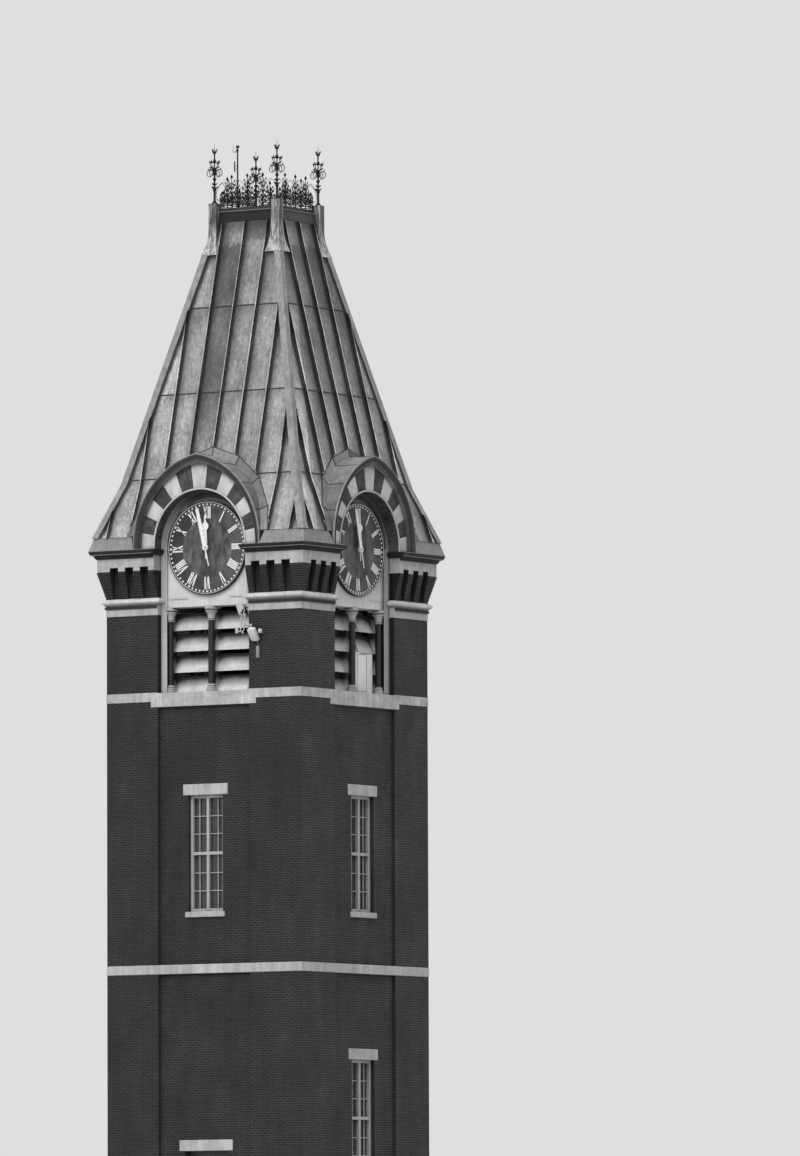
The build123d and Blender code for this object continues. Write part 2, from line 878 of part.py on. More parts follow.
def wall_bracket():
    """Upright bar on two arms, beside the camera, with the small plate on its head."""
    x = bay_half + bracket_inset
    thin = bracket_bar / 2
    top = string_level - bracket_top_drop
    foot = top - bracket_height
    face = half + bracket_reach
    bar = block(x - thin, x + thin, -face, -face + bracket_bar, foot, top)
    for level in (foot + bracket_bar, foot + bracket_height / 2):
        bar += block(x - thin, x + thin, -face + bracket_bar / 2, -half, level, level + bracket_bar)
    wide = bracket_plate / 2
    return bar + block(x - wide, x + wide, -face - thin, -face, top - 2 * bracket_plate, top)


def main():
    os.makedirs("parts", exist_ok=True)

    save("ground_floor", block(-room_half, room_half, -room_half, room_half, 0, floor_thickness))
    save("plinth", plinth())

    storey_band = bands()
    sills = sill_course()
    piers = corner_pier([storey_band, sills])
    save("corner_piers", *on_all_sides(piers))
    save("storey_band", storey_band)
    save("sill_course", sills)

    frames = []
    panes = []
    stones = [lintel(door_width, floor_thickness + door_height)]
    for side, angle in SIDES.items():
        save(f"{side}_wall", turned(bay_wall(side), angle) - storey_band)
        for level in window_levels(side):
            frame, glass = window(level)
            frames.append(turned(frame, angle))
            panes.append(turned(glass, angle))
            stones.append(turned(window_sill(level), angle))
            stones.append(turned(lintel(window_width, level + window_height), angle))
    save("window_frames", *frames)
    save("window_glass", *panes)
    save("window_stones", *stones)
    save("door", door())

    for name, top in (("upper_floor", storey_band_level + band_height), ("belfry_floor", sill_level)):
        save(name, block(-room_half, room_half, -room_half, room_half, top - floor_thickness, top))

    slots = recesses()
    save("string_course", *on_all_sides(string_course()))
    save("corbel_table", *on_all_sides(corbel_table(slots)))
    save("frieze", *on_all_sides(frieze(slots)))
    save("eaves_cornice", *on_all_sides(cornice()))
    save("eaves_flashings", *on_all_sides(eaves_flashing()))

    arch_stones, arch_bricks = arch()
    save("arch_stones", *[copy for piece in arch_stones for copy in on_all_sides(piece)])
    save("arch_bricks", *[copy for piece in arch_bricks for copy in on_all_sides(piece)])
    save("dial_panels", *on_all_sides(dial_panel()))
    save("dials", *on_all_sides(dial()))
    for side, angle in SIDES.items():
        save(f"{side}_minute_hand", turned(minute_hand(), angle))
        save(f"{side}_hour_hand", turned(hour_hand(), angle))

    shafts, turned_stones = colonettes()
    save("colonette_shafts", *[copy for piece in shafts for copy in on_all_sides(piece)])
    save("colonette_stones", *[copy for piece in turned_stones for copy in on_all_sides(piece)])
    save("louvres", *on_all_sides(louvres()))
    save("louvre_hatch", turned(hatch(), SIDES["right"]))

    roof = stack(roof_outlines())
    attic = stack(roof_outlines(-roof_thickness))
    slope = roof_slope(roof, attic)
    for side, angle in SIDES.items():
        save(f"{side}_roof_slope", turned(slope, angle))
    caps = hip_caps(roof)
    save("hip_caps", caps)
    save("dormer_hoods", *on_all_sides(hood(attic)))

    deck = roof_deck()
    post = corner_post(roof)
    posts = on_all_sides(post)
    for piece in posts:
        deck -= piece
    save("corner_posts", *posts)
    save("roof_deck", deck)
    save("cresting", *on_all_sides(crest_panel()))
    save("corner_finials", *on_all_sides(finial()))
    save("mast", mast())
    save("wall_camera", wall_camera())
    save("wall_bracket", wall_bracket())


main()
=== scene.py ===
"""Looks of the clock tower, made over its packed construction model, in metres."""

from math import atan2, cos, pi, radians, sin, sqrt

import bmesh
import bpy
from mathutils import Matrix, Vector


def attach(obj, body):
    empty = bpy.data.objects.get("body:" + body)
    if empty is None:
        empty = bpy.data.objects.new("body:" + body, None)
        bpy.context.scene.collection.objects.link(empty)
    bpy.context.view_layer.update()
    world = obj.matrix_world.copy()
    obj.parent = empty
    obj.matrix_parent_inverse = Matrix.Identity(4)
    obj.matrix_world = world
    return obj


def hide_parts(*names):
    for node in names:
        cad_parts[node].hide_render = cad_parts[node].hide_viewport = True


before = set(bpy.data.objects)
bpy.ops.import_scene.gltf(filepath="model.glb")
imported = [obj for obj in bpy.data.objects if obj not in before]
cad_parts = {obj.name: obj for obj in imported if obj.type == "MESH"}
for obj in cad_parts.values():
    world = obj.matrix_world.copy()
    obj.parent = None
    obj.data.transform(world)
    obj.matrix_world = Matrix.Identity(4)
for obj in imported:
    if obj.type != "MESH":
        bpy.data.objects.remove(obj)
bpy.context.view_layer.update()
scene = bpy.context.scene

# Sizes shared with the construction model
HALF = 3.4
BAY = 1.6
SILL = 16.41
STRING = 18.7
LINTEL = 18.92
CORBEL = 19.21
FRIEZE = 20.0
FRIEZE_FACE = 3.606
CORNICE = 20.47
SPRINGING = 20.62
ARCH = 20.72
ARCH_FACE, ARCH_BACK = 3.59, 2.99
JAMB_FACE = 3.216
PANEL_FACE = 3.1
DIAL = 20.615
DIAL_FACE = 3.18
HOUR_FACE = 3.272
MINUTE_FACE = 3.308
HATCH_FACE = 2.83
SASH_FACE = 3.085
DOOR_FACE = 3.04
LOUVRE_PITCH = 0.615
BRICK, COURSE, MORTAR = 0.215, 0.07, 0.011
COLUMN_LINE = 2.96
COLUMN_FOOT = SILL + 0.24
COLUMN_HEAD = LINTEL - 0.41
EAVE, EAVE_HALF = 21.0, 3.69
KINK, KINK_HALF = 22.59, 3.075
DECK, DECK_HALF = 30.37, 1.11
HOOD_FACE, HOOD_RECESS = 3.773, 3.7
HOOD_HALF = 2.2
HOOD_OFFSET = 0.448
RIB_PITCH = 0.8
LAPS = (22.72, 25.24, 27.82)
FLARE_FOOT = 29.4
FASCIA_TOP = 30.68
CURB_TOP = 30.8
POST_TOP = 30.95
POST_AXIS = 1.1015
CREST_LINE = 1.02
MINUTES_PAST_ELEVEN = 57.7
SIDES = {"front": 0, "right": 90, "back": 180, "left": 270}
QUARTERS = (90, 180, 270)


def tone(level):
    """Linear value of an 8-bit display grey."""
    share = level / 255
    return share / 12.92 if share <= 0.04045 else ((share + 0.055) / 1.055) ** 2.4


def grey(level):
    """The same as a colour."""
    value = tone(level)
    return (value, value, value, 1)


# Shapes


def up(height):
    """Step straight up."""
    return Vector((0, 0, height))


def circle(radius, steps, x=0.0, y=0.0):
    """Points round a circle."""
    turns = [2 * pi * step / steps for step in range(steps)]
    return [(x + radius * cos(turn), y + radius * sin(turn)) for turn in turns]


def vertices(made):
    """The vertices among the parts of a mesh."""
    return [item for item in made["geom"] if isinstance(item, bmesh.types.BMVert)]


def box(bm, x0, x1, y0, y1, z0, z1):
    """Block between two corners."""
    middle = Vector(((x0 + x1) / 2, (y0 + y1) / 2, (z0 + z1) / 2))
    size = Matrix.Diagonal((x1 - x0, y1 - y0, z1 - z0, 1))
    return bmesh.ops.create_cube(bm, size=1, matrix=Matrix.Translation(middle) @ size)["verts"]


def slab(bm, outline, y0, y1):
    """Outline in X and Z, carried from one depth to another."""
    front = bm.faces.new([bm.verts.new((x, y0, z)) for x, z in outline])
    back = vertices(bmesh.ops.extrude_face_region(bm, geom=[front]))
    bmesh.ops.translate(bm, verts=back, vec=(0, y1 - y0, 0))


def spun(bm, profile, centre, sides):
    """Turned piece from points of radius and height."""
    x, y, z = centre
    verts = [bm.verts.new((x + radius, y, z + height)) for radius, height in profile]
    edges = [bm.edges.new(pair) for pair in zip(verts, verts[1:])]
    bmesh.ops.spin(bm, geom=verts + edges, cent=centre, axis=(0, 0, 1), angle=2 * pi, steps=sides,
                   use_merge=True)


def skin(bm, rings):
    """Closed surface over a row of rings, with a flat end on each."""
    for lower, upper in zip(rings, rings[1:]):
        for step in range(len(lower)):
            after = (step + 1) % len(lower)
            bm.faces.new((lower[step], lower[after], upper[after], upper[step]))
    bm.faces.new(rings[0])
    bm.faces.new(rings[-1])


def bar(bm, points, radius, sides=6, taper=1.0):
    """Round bar along points, thinner towards its end."""
    points = [Vector(point) for point in points]
    side = None
    rings = []
    for index, point in enumerate(points):
        along = points[min(index + 1, len(points) - 1)] - points[max(index - 1, 0)]
        along.normalize()
        side = along.orthogonal() if side is None else side
        side = (side - along * side.dot(along)).normalized()
        other = along.cross(side)
        thin = radius * (1 + (taper - 1) * index / (len(points) - 1))
        rings.append([bm.verts.new(point + (side * x + other * y) * thin) for x, y in circle(1.0, sides)])
    skin(bm, rings)


def moulding(bm, path, profile):
    """Closed profile of (outward, depth) points carried along a path in X and Z."""
    rings = []
    for index, (x, z) in enumerate(path):
        before = path[max(index - 1, 0)]
        after = path[min(index + 1, len(path) - 1)]
        length = sqrt((after[0] - before[0]) ** 2 + (after[1] - before[1]) ** 2)
        out_x = -(after[1] - before[1]) / length
        out_z = (after[0] - before[0]) / length
        rings.append([bm.verts.new((x + out_x * out, -depth, z + out_z * out)) for out, depth in profile])
    skin(bm, rings)


def leaf(bm, base, direction, across, length, width, thickness=0.03):
    """Cast leaf: a lozenge-shaped blade with a raised middle."""
    base = Vector(base)
    along = Vector(direction).normalized()
    across = Vector(across).normalized()
    normal = along.cross(across)
    middle = base + along * length * 0.45
    tip = bm.verts.new(base + along * length)
    foot = bm.verts.new(base)
    left = bm.verts.new(middle + across * width / 2)
    right = bm.verts.new(middle - across * width / 2)
    for raised in (thickness / 2, -thickness / 2):
        crest = bm.verts.new(middle + normal * raised)
        for first, last in ((foot, left), (left, tip), (tip, right), (right, foot)):
            bm.faces.new((first, last, crest))


def round_path(radius, centre, foot, steps):
    """Round arch from its left foot over the crown to its right foot."""
    turns = [pi - pi * step / steps for step in range(steps + 1)]
    head = [(radius * cos(turn), centre + radius * sin(turn)) for turn in turns]
    return [(-radius, foot)] + head + [(radius, foot)]


def pointed_path(half, foot, steps):
    """Pointed outline of a hood from its left foot over the peak to its right foot."""
    radius = half + HOOD_OFFSET
    last = atan2(sqrt(radius ** 2 - HOOD_OFFSET ** 2), HOOD_OFFSET)
    turns = [last * step / steps for step in range(steps + 1)]
    right = [(radius * cos(turn) - HOOD_OFFSET, ARCH + radius * sin(turn)) for turn in turns]
    left = [(-x, z) for x, z in right]
    return [(-half, foot)] + left + right[-2::-1] + [(half, foot)]


def roof_half(z):
    """Half width of the roof at a height."""
    if z < KINK:
        return EAVE_HALF + (KINK_HALF - EAVE_HALF) * (z - EAVE) / (KINK - EAVE)
    return KINK_HALF + (DECK_HALF - KINK_HALF) * (z - KINK) / (DECK - KINK)


def turned(bm, verts, angle, axis="Z", centre=(0, 0, 0)):
    """Turn vertices by some degrees."""
    bmesh.ops.rotate(bm, verts=verts, cent=centre, matrix=Matrix.Rotation(radians(angle), 3, axis))


def on_all_sides(bm):
    """Repeat the front on the other three sides."""
    first = bm.verts[:] + bm.edges[:] + bm.faces[:]
    for angle in QUARTERS:
        turned(bm, vertices(bmesh.ops.duplicate(bm, geom=first)), angle)


def piece(bm, name, finish, slot, nodes=(), body="root", bevel=0.0, segments=1, smooth=0, weld=False):
    """Turn a mesh into a named piece that rides on a body."""
    if weld:
        bmesh.ops.remove_doubles(bm, verts=bm.verts, dist=0.0002)
    if bevel:
        edges = [edge for edge in bm.edges if edge.is_manifold and edge.calc_face_angle(0) > 0.3]
        bmesh.ops.bevel(bm, geom=edges, offset=bevel, segments=segments, profile=0.5, affect="EDGES",
                        clamp_overlap=True)
    bmesh.ops.recalc_face_normals(bm, faces=bm.faces)
    mesh = bpy.data.meshes.new(name)
    bm.to_mesh(mesh)
    bm.free()
    if smooth:
        mesh.shade_smooth()
        mesh.set_sharp_from_angle(angle=radians(smooth))
    mesh.materials.append(finish)
    made = bpy.data.objects.new(name, mesh)
    scene.collection.objects.link(made)
    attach(made, body)
    if nodes:
        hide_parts(*nodes)


def fourfold(bm, *settings, **more):
    """A piece that is the same on all four sides."""
    on_all_sides(bm)
    piece(bm, *settings, **more)


def dressed(node, finish, slot, bevel=0.008, smooth=0):
    """Copy of a construction node with eased edges, in its place."""
    bm = bmesh.new()
    bm.from_mesh(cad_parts[node].data)
    bmesh.ops.remove_doubles(bm, verts=bm.verts, dist=0.0001)
    if bevel:
        bmesh.ops.dissolve_limit(bm, angle_limit=radians(1), verts=bm.verts, edges=bm.edges)
    piece(bm, "dressed_" + node, finish, slot, (node,), bevel=bevel, smooth=smooth)


def finished(node, finish):
    """The construction node itself, with its finish."""
    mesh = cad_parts[node].data
    mesh.materials.clear()
    mesh.materials.append(finish)


# Finishes


def add_node(tree, kind, inputs=(), **settings):
    """Add a node to a tree, with its settings and what goes into its sockets."""
    made = tree.nodes.new(kind)
    for key, value in settings.items():
        setattr(made, key, value)
    for socket, value in dict(inputs).items():
        value = value.socket if isinstance(value, Value) else value
        if isinstance(value, bpy.types.NodeSocket):
            tree.links.new(value, made.inputs[socket])
        else:
            made.inputs[socket].default_value = value
    return made


class Value:
    """A number that varies over a surface, so that finishes can be worked out in plain sums."""

    def __init__(self, finish, socket):
        self.finish = finish
        self.socket = socket

    def __add__(self, other):
        return self.finish.math("ADD", self, other)

    def __sub__(self, other):
        return self.finish.math("SUBTRACT", self, other)

    def __rsub__(self, other):
        return self.finish.math("SUBTRACT", other, self)

    def __mul__(self, other):
        return self.finish.math("MULTIPLY", self, other)

    def __truediv__(self, other):
        return self.finish.math("DIVIDE", self, other)

    def __gt__(self, other):
        return self.finish.math("GREATER_THAN", self, other)

    def __lt__(self, other):
        return self.finish.math("LESS_THAN", self, other)

    def __abs__(self):
        return self.finish.math("ABSOLUTE", self)

    def span(self, low, high, first=0.0, last=1.0):
        """Carry it from one range to another, held at its ends."""
        inputs = {"Value": self, "From Min": low, "From Max": high, "To Min": first, "To Max": last}
        return self.finish.value("ShaderNodeMapRange", inputs, "Result")

    def tint(self, factor):
        """A factor where this is 1, and none where it is 0."""
        return self.span(0, 1, 1.0, factor)

    def ragged(self, scale, spread, upright=1.0, across=1.0):
        """The same with an uneven edge."""
        return self + self.finish.noise(scale, -spread, spread, across, upright)


class Finish:
    """A procedural material while it is being put together from neutral tones."""

    def __init__(self, name, roughness=0.8, metallic=0.0):
        self.material = bpy.data.materials.new(name)
        self.material.use_nodes = True
        self.tree = self.material.node_tree
        self.shader = self.tree.nodes["Principled BSDF"]
        self.shader.inputs["Roughness"].default_value = roughness
        self.shader.inputs["Metallic"].default_value = metallic
        self.place = self.value("ShaderNodeTexCoord", output="Object")
        self.x, self.y, self.z = self.parts(self.place)

    def value(self, kind, inputs=(), output=0, **settings):
        """One output of a new node."""
        return Value(self, add_node(self.tree, kind, inputs, **settings).outputs[output])

    def math(self, kind, first, second=0.0, third=0.0):
        """One calculation on two or three values."""
        return self.value("ShaderNodeMath", {0: first, 1: second, 2: third}, operation=kind)

    def mix(self, factor, first, last):
        """The first value where the factor is 0, and the last where it is 1."""
        return self.value("ShaderNodeMix", {0: factor, 2: first, 3: last}, data_type="FLOAT")

    def vector(self, x, y, z=0.0):
        """Vector from three values."""
        return self.value("ShaderNodeCombineXYZ", {0: x, 1: y, 2: z})

    def parts(self, vector):
        """The three values of a vector."""
        split = add_node(self.tree, "ShaderNodeSeparateXYZ", {"Vector": vector})
        return [Value(self, output) for output in split.outputs]

    def surface(self, output):
        """The surface's normal, or a number of its own for each sheet or stone."""
        return self.value("ShaderNodeNewGeometry", output=output)

    def noise(self, scale, low=0.0, high=1.0, across=1.0, upright=1.0, detail=5.0):
        """Cloudy factor between two values, stretched across or upright."""
        stretch = {0: self.place, 1: (across, across, upright)}
        place = self.value("ShaderNodeVectorMath", stretch, operation="MULTIPLY")
        inputs = {"Vector": place, "Scale": scale, "Detail": detail, "Roughness": 0.62}
        return self.value("ShaderNodeTexNoise", inputs, "Fac").span(0.3, 0.7, low, high)

    def tones(self, scale, low, high, across=1.0, upright=1.0, detail=5.0):
        """Cloudy mix of two display greys."""
        return self.noise(scale, tone(low), tone(high), across, upright, detail)

    def mottle(self, scale, level, spread):
        """Display grey that varies by a share."""
        return self.noise(scale, tone(level) * (1 - spread), tone(level) * (1 + spread))

    def painted_shade(self, distance, low, high, dark):
        """Factor that falls in corners and creases, as painted shade."""
        inputs = {"Distance": distance}
        return self.value("ShaderNodeAmbientOcclusion", inputs, "AO", samples=4).span(low, high, dark)

    def along(self, sided=False):
        """Distance along a wall, whichever of the four it is, and 1 on the front and back.

        The sided one turns the pattern of the side walls round.
        """
        across, deep = self.parts(self.surface("Normal"))[:2]
        facing = abs(deep) > abs(across)
        return self.mix(facing, self.y * -1.0 if sided else self.y, self.x), facing

    def reach(self, flat, rise):
        """Distance from a centre."""
        return self.math("SQRT", flat * flat + rise * rise)

    def bricks(self, where, width, height, mortar, colours):
        """Brick pattern: its tone, and 1 in the joints."""
        inputs = {"Vector": where, "Color1": grey(colours[0]), "Color2": grey(colours[1]),
                  "Mortar": grey(colours[2]), "Scale": 1.0, "Mortar Size": mortar,
                  "Mortar Smooth": 0.3, "Bias": 0.0, "Brick Width": width, "Row Height": height}
        made = add_node(self.tree, "ShaderNodeTexBrick", inputs)
        return Value(self, made.outputs["Color"]), Value(self, made.outputs["Fac"])

    def bump(self, height, distance, strength=0.6):
        """Raise the surface by a height."""
        inputs = {"Height": height, "Distance": distance, "Strength": strength}
        self.tree.links.new(self.value("ShaderNodeBump", inputs).socket, self.shader.inputs["Normal"])

    def wood_grain(self):
        """Fine grain under a coat of paint."""
        self.bump(self.noise(10, upright=8.0), 0.003, 0.4)

    def done(self, value, roughness=None):
        """Set the tone, and return the material."""
        self.tree.links.new(value.socket, self.shader.inputs["Base Color"])
        if roughness:
            self.tree.links.new(roughness.socket, self.shader.inputs["Roughness"])
        return self.material


def brick_finish():
    """Dark pressed brick in fine courses, with sooty patches; painted light makes the side walls lighter than
    the front and back, and painted shade darkens the corners and the reveals of the bays.
    """
    made = Finish("brick", 0.85)
    across = made.vector(made.x + made.y, made.z)
    value, joint = made.bricks(across, BRICK, COURSE, MORTAR, (25, 40, 68))
    # Painted light: side walls lighter, front and back darker
    value *= made.along()[1].span(0, 1, 1.2, 0.7)
    value *= made.noise(0.7, 0.7, 1.25) * made.noise(2.2, 0.7, 1.25, upright=0.25)
    # Painted shade in the corners
    value *= made.noise(18, 0.8, 1.25) * made.painted_shade(0.35, 0.35, 0.85, 0.3)
    inner = made.math("MINIMUM", abs(made.x), abs(made.y))
    # Painted shade: the reveals of the bays are darkened
    reveal = (inner < BAY + 0.006) * (made.z > SILL)
    made.bump(made.noise(60, -0.3, 0.3) - joint, 0.006)
    return made.done(value * reveal.tint(0.2))


def arch_brick_finish():
    """Dark gauged brick, with its joints pointing at the centre of the arch, and painted shade on the soffit
    lining inside the intrados.
    """
    made = Finish("arch_brick", 0.85)
    flat = made.along()[0]
    rise = made.z - ARCH
    reach = made.reach(flat, rise)
    turn = made.math("ARCTAN2", flat, rise) * 1.9
    value, joint = made.bricks(made.vector(reach, turn), BRICK, COURSE, 0.006, (50, 70, 80))
    made.bump(made.noise(60, -0.3, 0.3) - joint, 0.005)
    value *= made.noise(2.6, 0.45, 1.9, detail=7.0) * made.noise(9, 0.8, 1.2)
    # Painted shade on the soffit lining just inside the intrados
    return made.done(value * reach.span(BAY - 0.015, BAY - 0.005, 0.3))


def stone_finish(name, level, spread=0.14, streak=0.2, joints=0.0, dirt=0.0, shade=None):
    """Light stone: mottled, streaked by rain, with patches of dirt, and painted shade in corners and creases.
    """
    made = Finish(name, 0.78)
    value = made.mottle(1.3, level, spread) * made.noise(14, 0.93, 1.06)
    value *= made.noise(3.5, 1 - streak, 1.08, 1.6, 0.16) * made.noise(0.9, 0.9, 1.05, 2.5, 0.5)
    # Painted shade in corners and creases
    value *= made.painted_shade(0.2, 0.25, 0.95, 0.5) * made.painted_shade(0.06, 0.45, 0.9, 0.45)
    if dirt:
        value *= made.noise(2.6, 1 - dirt, 1 + dirt * 0.4, upright=1.6, detail=8.0)
    if shade:
        value *= shade(made)
    grain = made.noise(45)
    if joints:
        joint = made.bricks(made.vector(made.x + made.y, 1.0), joints, 9.0, 0.006, (255, 255, 255))[1]
        value *= joint.tint(0.72)
        grain = grain * 0.5 - joint
    made.bump(grain, 0.004)
    return made.done(value)


def string_shade(made):
    """Painted light on the top and painted shade on the underside of the string course's nose."""
    nose = made.z.span(STRING + 0.335, STRING + 0.375, 0.5, 1.4)
    return nose * made.z.span(STRING + 0.275, STRING + 0.285, 1.9, 1.0)


def frieze_shade(made):
    """Black inside the notches of the frieze."""
    across = abs(made.x), abs(made.y)
    deep = made.math("MAXIMUM", *across) < FRIEZE_FACE - 0.02
    beside = made.math("MINIMUM", *across) > BAY + 0.12
    return (deep * beside * (made.z < FRIEZE + 0.14)).tint(0.05)


def capital_shade(made):
    """Painted shade in the two grooves of the capitals."""
    lower, upper = [abs(made.z - (COLUMN_HEAD + level)).span(half * 0.5, half * 1.8, 0.3)
                    for level, half in ((0.04, 0.012), (0.3, 0.014))]
    return lower * upper


def arch_stone_finish():
    """Light voussoirs, no two quite the same, with painted shade in the corners."""
    made = Finish("arch_stone", 0.78)
    value = made.tones(2.2, 192, 222) * made.surface("Random Per Island").span(0, 1, 0.86, 1.1)
    value *= made.noise(16, 0.93, 1.05) * made.noise(3.0, 0.84, 1.06, 1.5, 0.3)
    made.bump(made.noise(45), 0.004)
    return made.done(value * made.painted_shade(0.12, 0.4, 0.95, 0.45))


def roof_finish():
    """Old sheet metal between ribs: each rib has a painted highlight on it and a black strip of painted
    shadow beside it.
    """
    made = Finish("roof_sheet", 0.62, 0.1)
    flat, facing = made.along(sided=True)
    z = made.z
    front = made.y < 0.0
    beside = facing.span(0, 1, 1, 0)
    panel = flat / RIB_PITCH
    index = made.math("FLOOR", panel)
    lap = (z > LAPS[0]) + (z > LAPS[1]) + (z > LAPS[2])

    # Each sheet has a tone of its own, and the slopes darken upwards and to the right
    sheet = {"Vector": made.vector(index, lap, facing + front * 2.0)}
    value = made.value("ShaderNodeTexWhiteNoise", sheet, "Value").span(0, 1, tone(152), tone(186))
    value *= made.noise(1.3, 0.6, 1.4, upright=0.5) * made.noise(11, 0.68, 1.28, 1.5, 0.1)
    value *= made.noise(9, 0.8, 1.2, detail=8.0)
    value *= made.mix(facing, z.span(22, 30, 0.95, 0.32), z.span(26.6, 30, 0.88, 0.48))
    value *= (flat.span(-2.1, -0.7, 1.0, 0.0) * z.span(22.7, 24)).tint(1.35)

    # Ribs, each with a painted highlight, and painted shadow on their shadow side
    past = made.math("FRACT", panel) * RIB_PITCH
    shadow_side = past * facing.span(0, 1, 0.62, 1.0)
    painted_shade = shadow_side.span(0.085, 0.14, 0.06, 0.42)
    painted_shade *= shadow_side.ragged(2.2, 0.03, 0.3).span(0.11, 0.36, 1.0, 2.45)
    painted_shade *= past.span(RIB_PITCH - 0.16, RIB_PITCH - 0.03, 1.0, 0.72)
    rib = abs(past - RIB_PITCH / 2) > RIB_PITCH / 2 - 0.024
    # Painted highlight on the ribs, stronger up the slope and on the side slopes
    crest = z.span(23, 28, 1.2, 1.5) * facing.span(0, 1, 1.6, 1.0)
    value *= made.mix(rib, made.math("MINIMUM", painted_shade, 1.0), crest)
    # Painted shade on upright faces, such as the sides of the ribs
    value *= (made.parts(made.surface("Normal"))[2] < 0.1).tint(0.12)

    # Painted shade, black, where the sheets run into the hips, a light strip on the side slopes, shade under
    # the posts
    hip = (DECK - z) * ((KINK_HALF - DECK_HALF) / (DECK - KINK))
    hip += made.math("MAXIMUM", KINK - z, 0.0) * 0.134 + (DECK_HALF - 0.19)
    inside = abs(flat)
    whole = made.math("FLOOR", inside / RIB_PITCH) * RIB_PITCH
    # Painted shade in the pockets where the ribs and sheets meet the hips
    value *= (hip - whole).ragged(3, 0.02).span(0.17, 0.28, 0.06)
    value *= (hip + flat).ragged(3, 0.02).span(0.08, 0.19, 0.06)
    value *= (beside * (flat > hip - 0.55) * z.span(28.6, 29.6, 1, 0)).tint(1.7)
    # Painted shadow under the flared feet of the posts
    under = z.span(FLARE_FOOT - 0.24, FLARE_FOOT - 0.04) * (z < FLARE_FOOT)
    value *= (under * (inside > hip - 0.3)).tint(0.1)

    # Dirt under the cross seams, an old dark sheet on the front, washed heads, shade under the deck
    for level in LAPS:
        above = z - level
        value *= (above.ragged(9, 0.14, 0.2).span(-0.5, 0.0) * (above < 0.0)).tint(0.8)
    old = made.math("COMPARE", index, -1.0, 0.1) * facing * front
    old *= z.ragged(4, 0.4).span(23.2, 25.3, 0.5) * z.ragged(7, 0.14, 0.6).span(29.64, 29.74, 1.0, 0.0)
    top = made.math("COMPARE", index, 0.0, 0.1) * facing * front * z.ragged(7, 0.1, 0.6).span(29.76, 29.84)
    washed = beside * z.ragged(7, 0.14, 0.6).span(29.58, 29.72)
    value *= old.tint(0.36) * top.tint(0.55) * washed.tint(2.1) * z.span(29.98, 30.26, 1.0, 0.5)
    value *= made.noise(26, upright=0.6, detail=2.0).span(0.8, 0.95, 1.0, 0.62)
    value *= made.noise(34, upright=0.3, detail=2.0).span(0.74, 0.9, 1.0, 1.55)
    made.bump(made.noise(1.1) + made.noise(30, 0.0, 0.08), 0.02, 0.5)
    return made.done(value, made.noise(3, 0.5, 0.75))


def weathered(made, value, streak=0.2):
    """Close a finish with the streaks and dents of old sheet metal."""
    made.bump(made.noise(4), 0.008, 0.5)
    value *= made.noise(9, 1 - streak, 1 + streak, 1.5, 0.2) * made.noise(30, 0.92, 1.08)
    return made.done(value, made.noise(3, 0.5, 0.72))


def sheet_finish(name, level, streak=0.3, contrast=0.2):
    """Weathered sheet metal without panels: caps, rims, flashings, gutters, with painted shade in the
    corners.
    """
    made = Finish(name, 0.6, 0.15)
    return weathered(made, made.mottle(2.4, level, contrast) * made.painted_shade(0.15, 0.25, 0.9, 0.55), streak)


def collar_finish():
    """Sheets of the collars, each one weathered in its own way."""
    made = Finish("collar_sheet", 0.6, 0.15)
    own = made.surface("Random Per Island").span(0, 1, tone(84), tone(150))
    return weathered(made, own * made.noise(2.4, 0.8, 1.2))


def hood_finish():
    """Sheet of the hoods, with painted shade black between the mouldings of the rim, and painted light and
    shade making the vault lighter above and darker towards its foot.
    """
    made = Finish("hood_sheet", 0.6, 0.1)
    out = made.math("MAXIMUM", abs(made.x), abs(made.y))
    # Painted shade between the mouldings of the rim
    rim = out.span(HOOD_RECESS, HOOD_RECESS + 0.015, 1.0, 0.28)
    # Painted light and shade: the vault lighter above, darker towards its foot
    return weathered(made, made.tones(2.4, 104, 146) * rim * made.z.span(21.0, 23.2, 0.45, 1.28))


def deck_finish():
    """Edge of the deck: a dark fascia, darker on the front and back than on the sides as painted light, a
    light drip lip and a grey curb.
    """
    made = Finish("deck_sheet", 0.6, 0.1)
    # Painted light: the fascia is darker on the front and back than on the sides
    fascia = made.along()[1].span(0, 1, tone(72), tone(17))
    value = made.mix(made.z > FASCIA_TOP - 0.004, fascia, tone(124))
    value = made.mix(made.z > FASCIA_TOP + 0.027, value, tone(46))
    made.bump(made.noise(5), 0.006, 0.5)
    return made.done(value * made.noise(3, 0.75, 1.25, upright=0.6) * made.noise(13, 0.8, 1.2))


def peeling_finish():
    """Old paint that has peeled off the deck posts in long flakes."""
    made = Finish("peeling_paint", 0.75)
    flakes = made.noise(12, across=1.8, upright=0.12, detail=6.0) * made.noise(4, 0.55, 1.45, 1.2, 0.5)
    flakes += made.z.span(29.0, 30.5, 0.38, -0.2)
    made.bump(flakes, 0.004)
    return made.done(flakes.span(0.25, 0.85, tone(80), tone(200)) * made.noise(40, 0.88, 1.1))


def paint_finish(name, level, dirt=0.1, roughness=0.6):
    """Painted wood: a light coat with rain streaks, painted shade in the corners and some grain."""
    made = Finish(name, roughness)
    value = made.noise(1.8, tone(level) * 0.92, tone(level) * 1.06) * made.noise(38, 0.95, 1.04)
    # The dirt share deepens both the rain streaks and the painted shade in the corners
    value *= made.noise(5, 1 - dirt, 1.08, 1.4, 0.18) * made.painted_shade(0.3, 0.2, 0.95, 1 - 2 * dirt)
    made.wood_grain()
    return made.done(value)


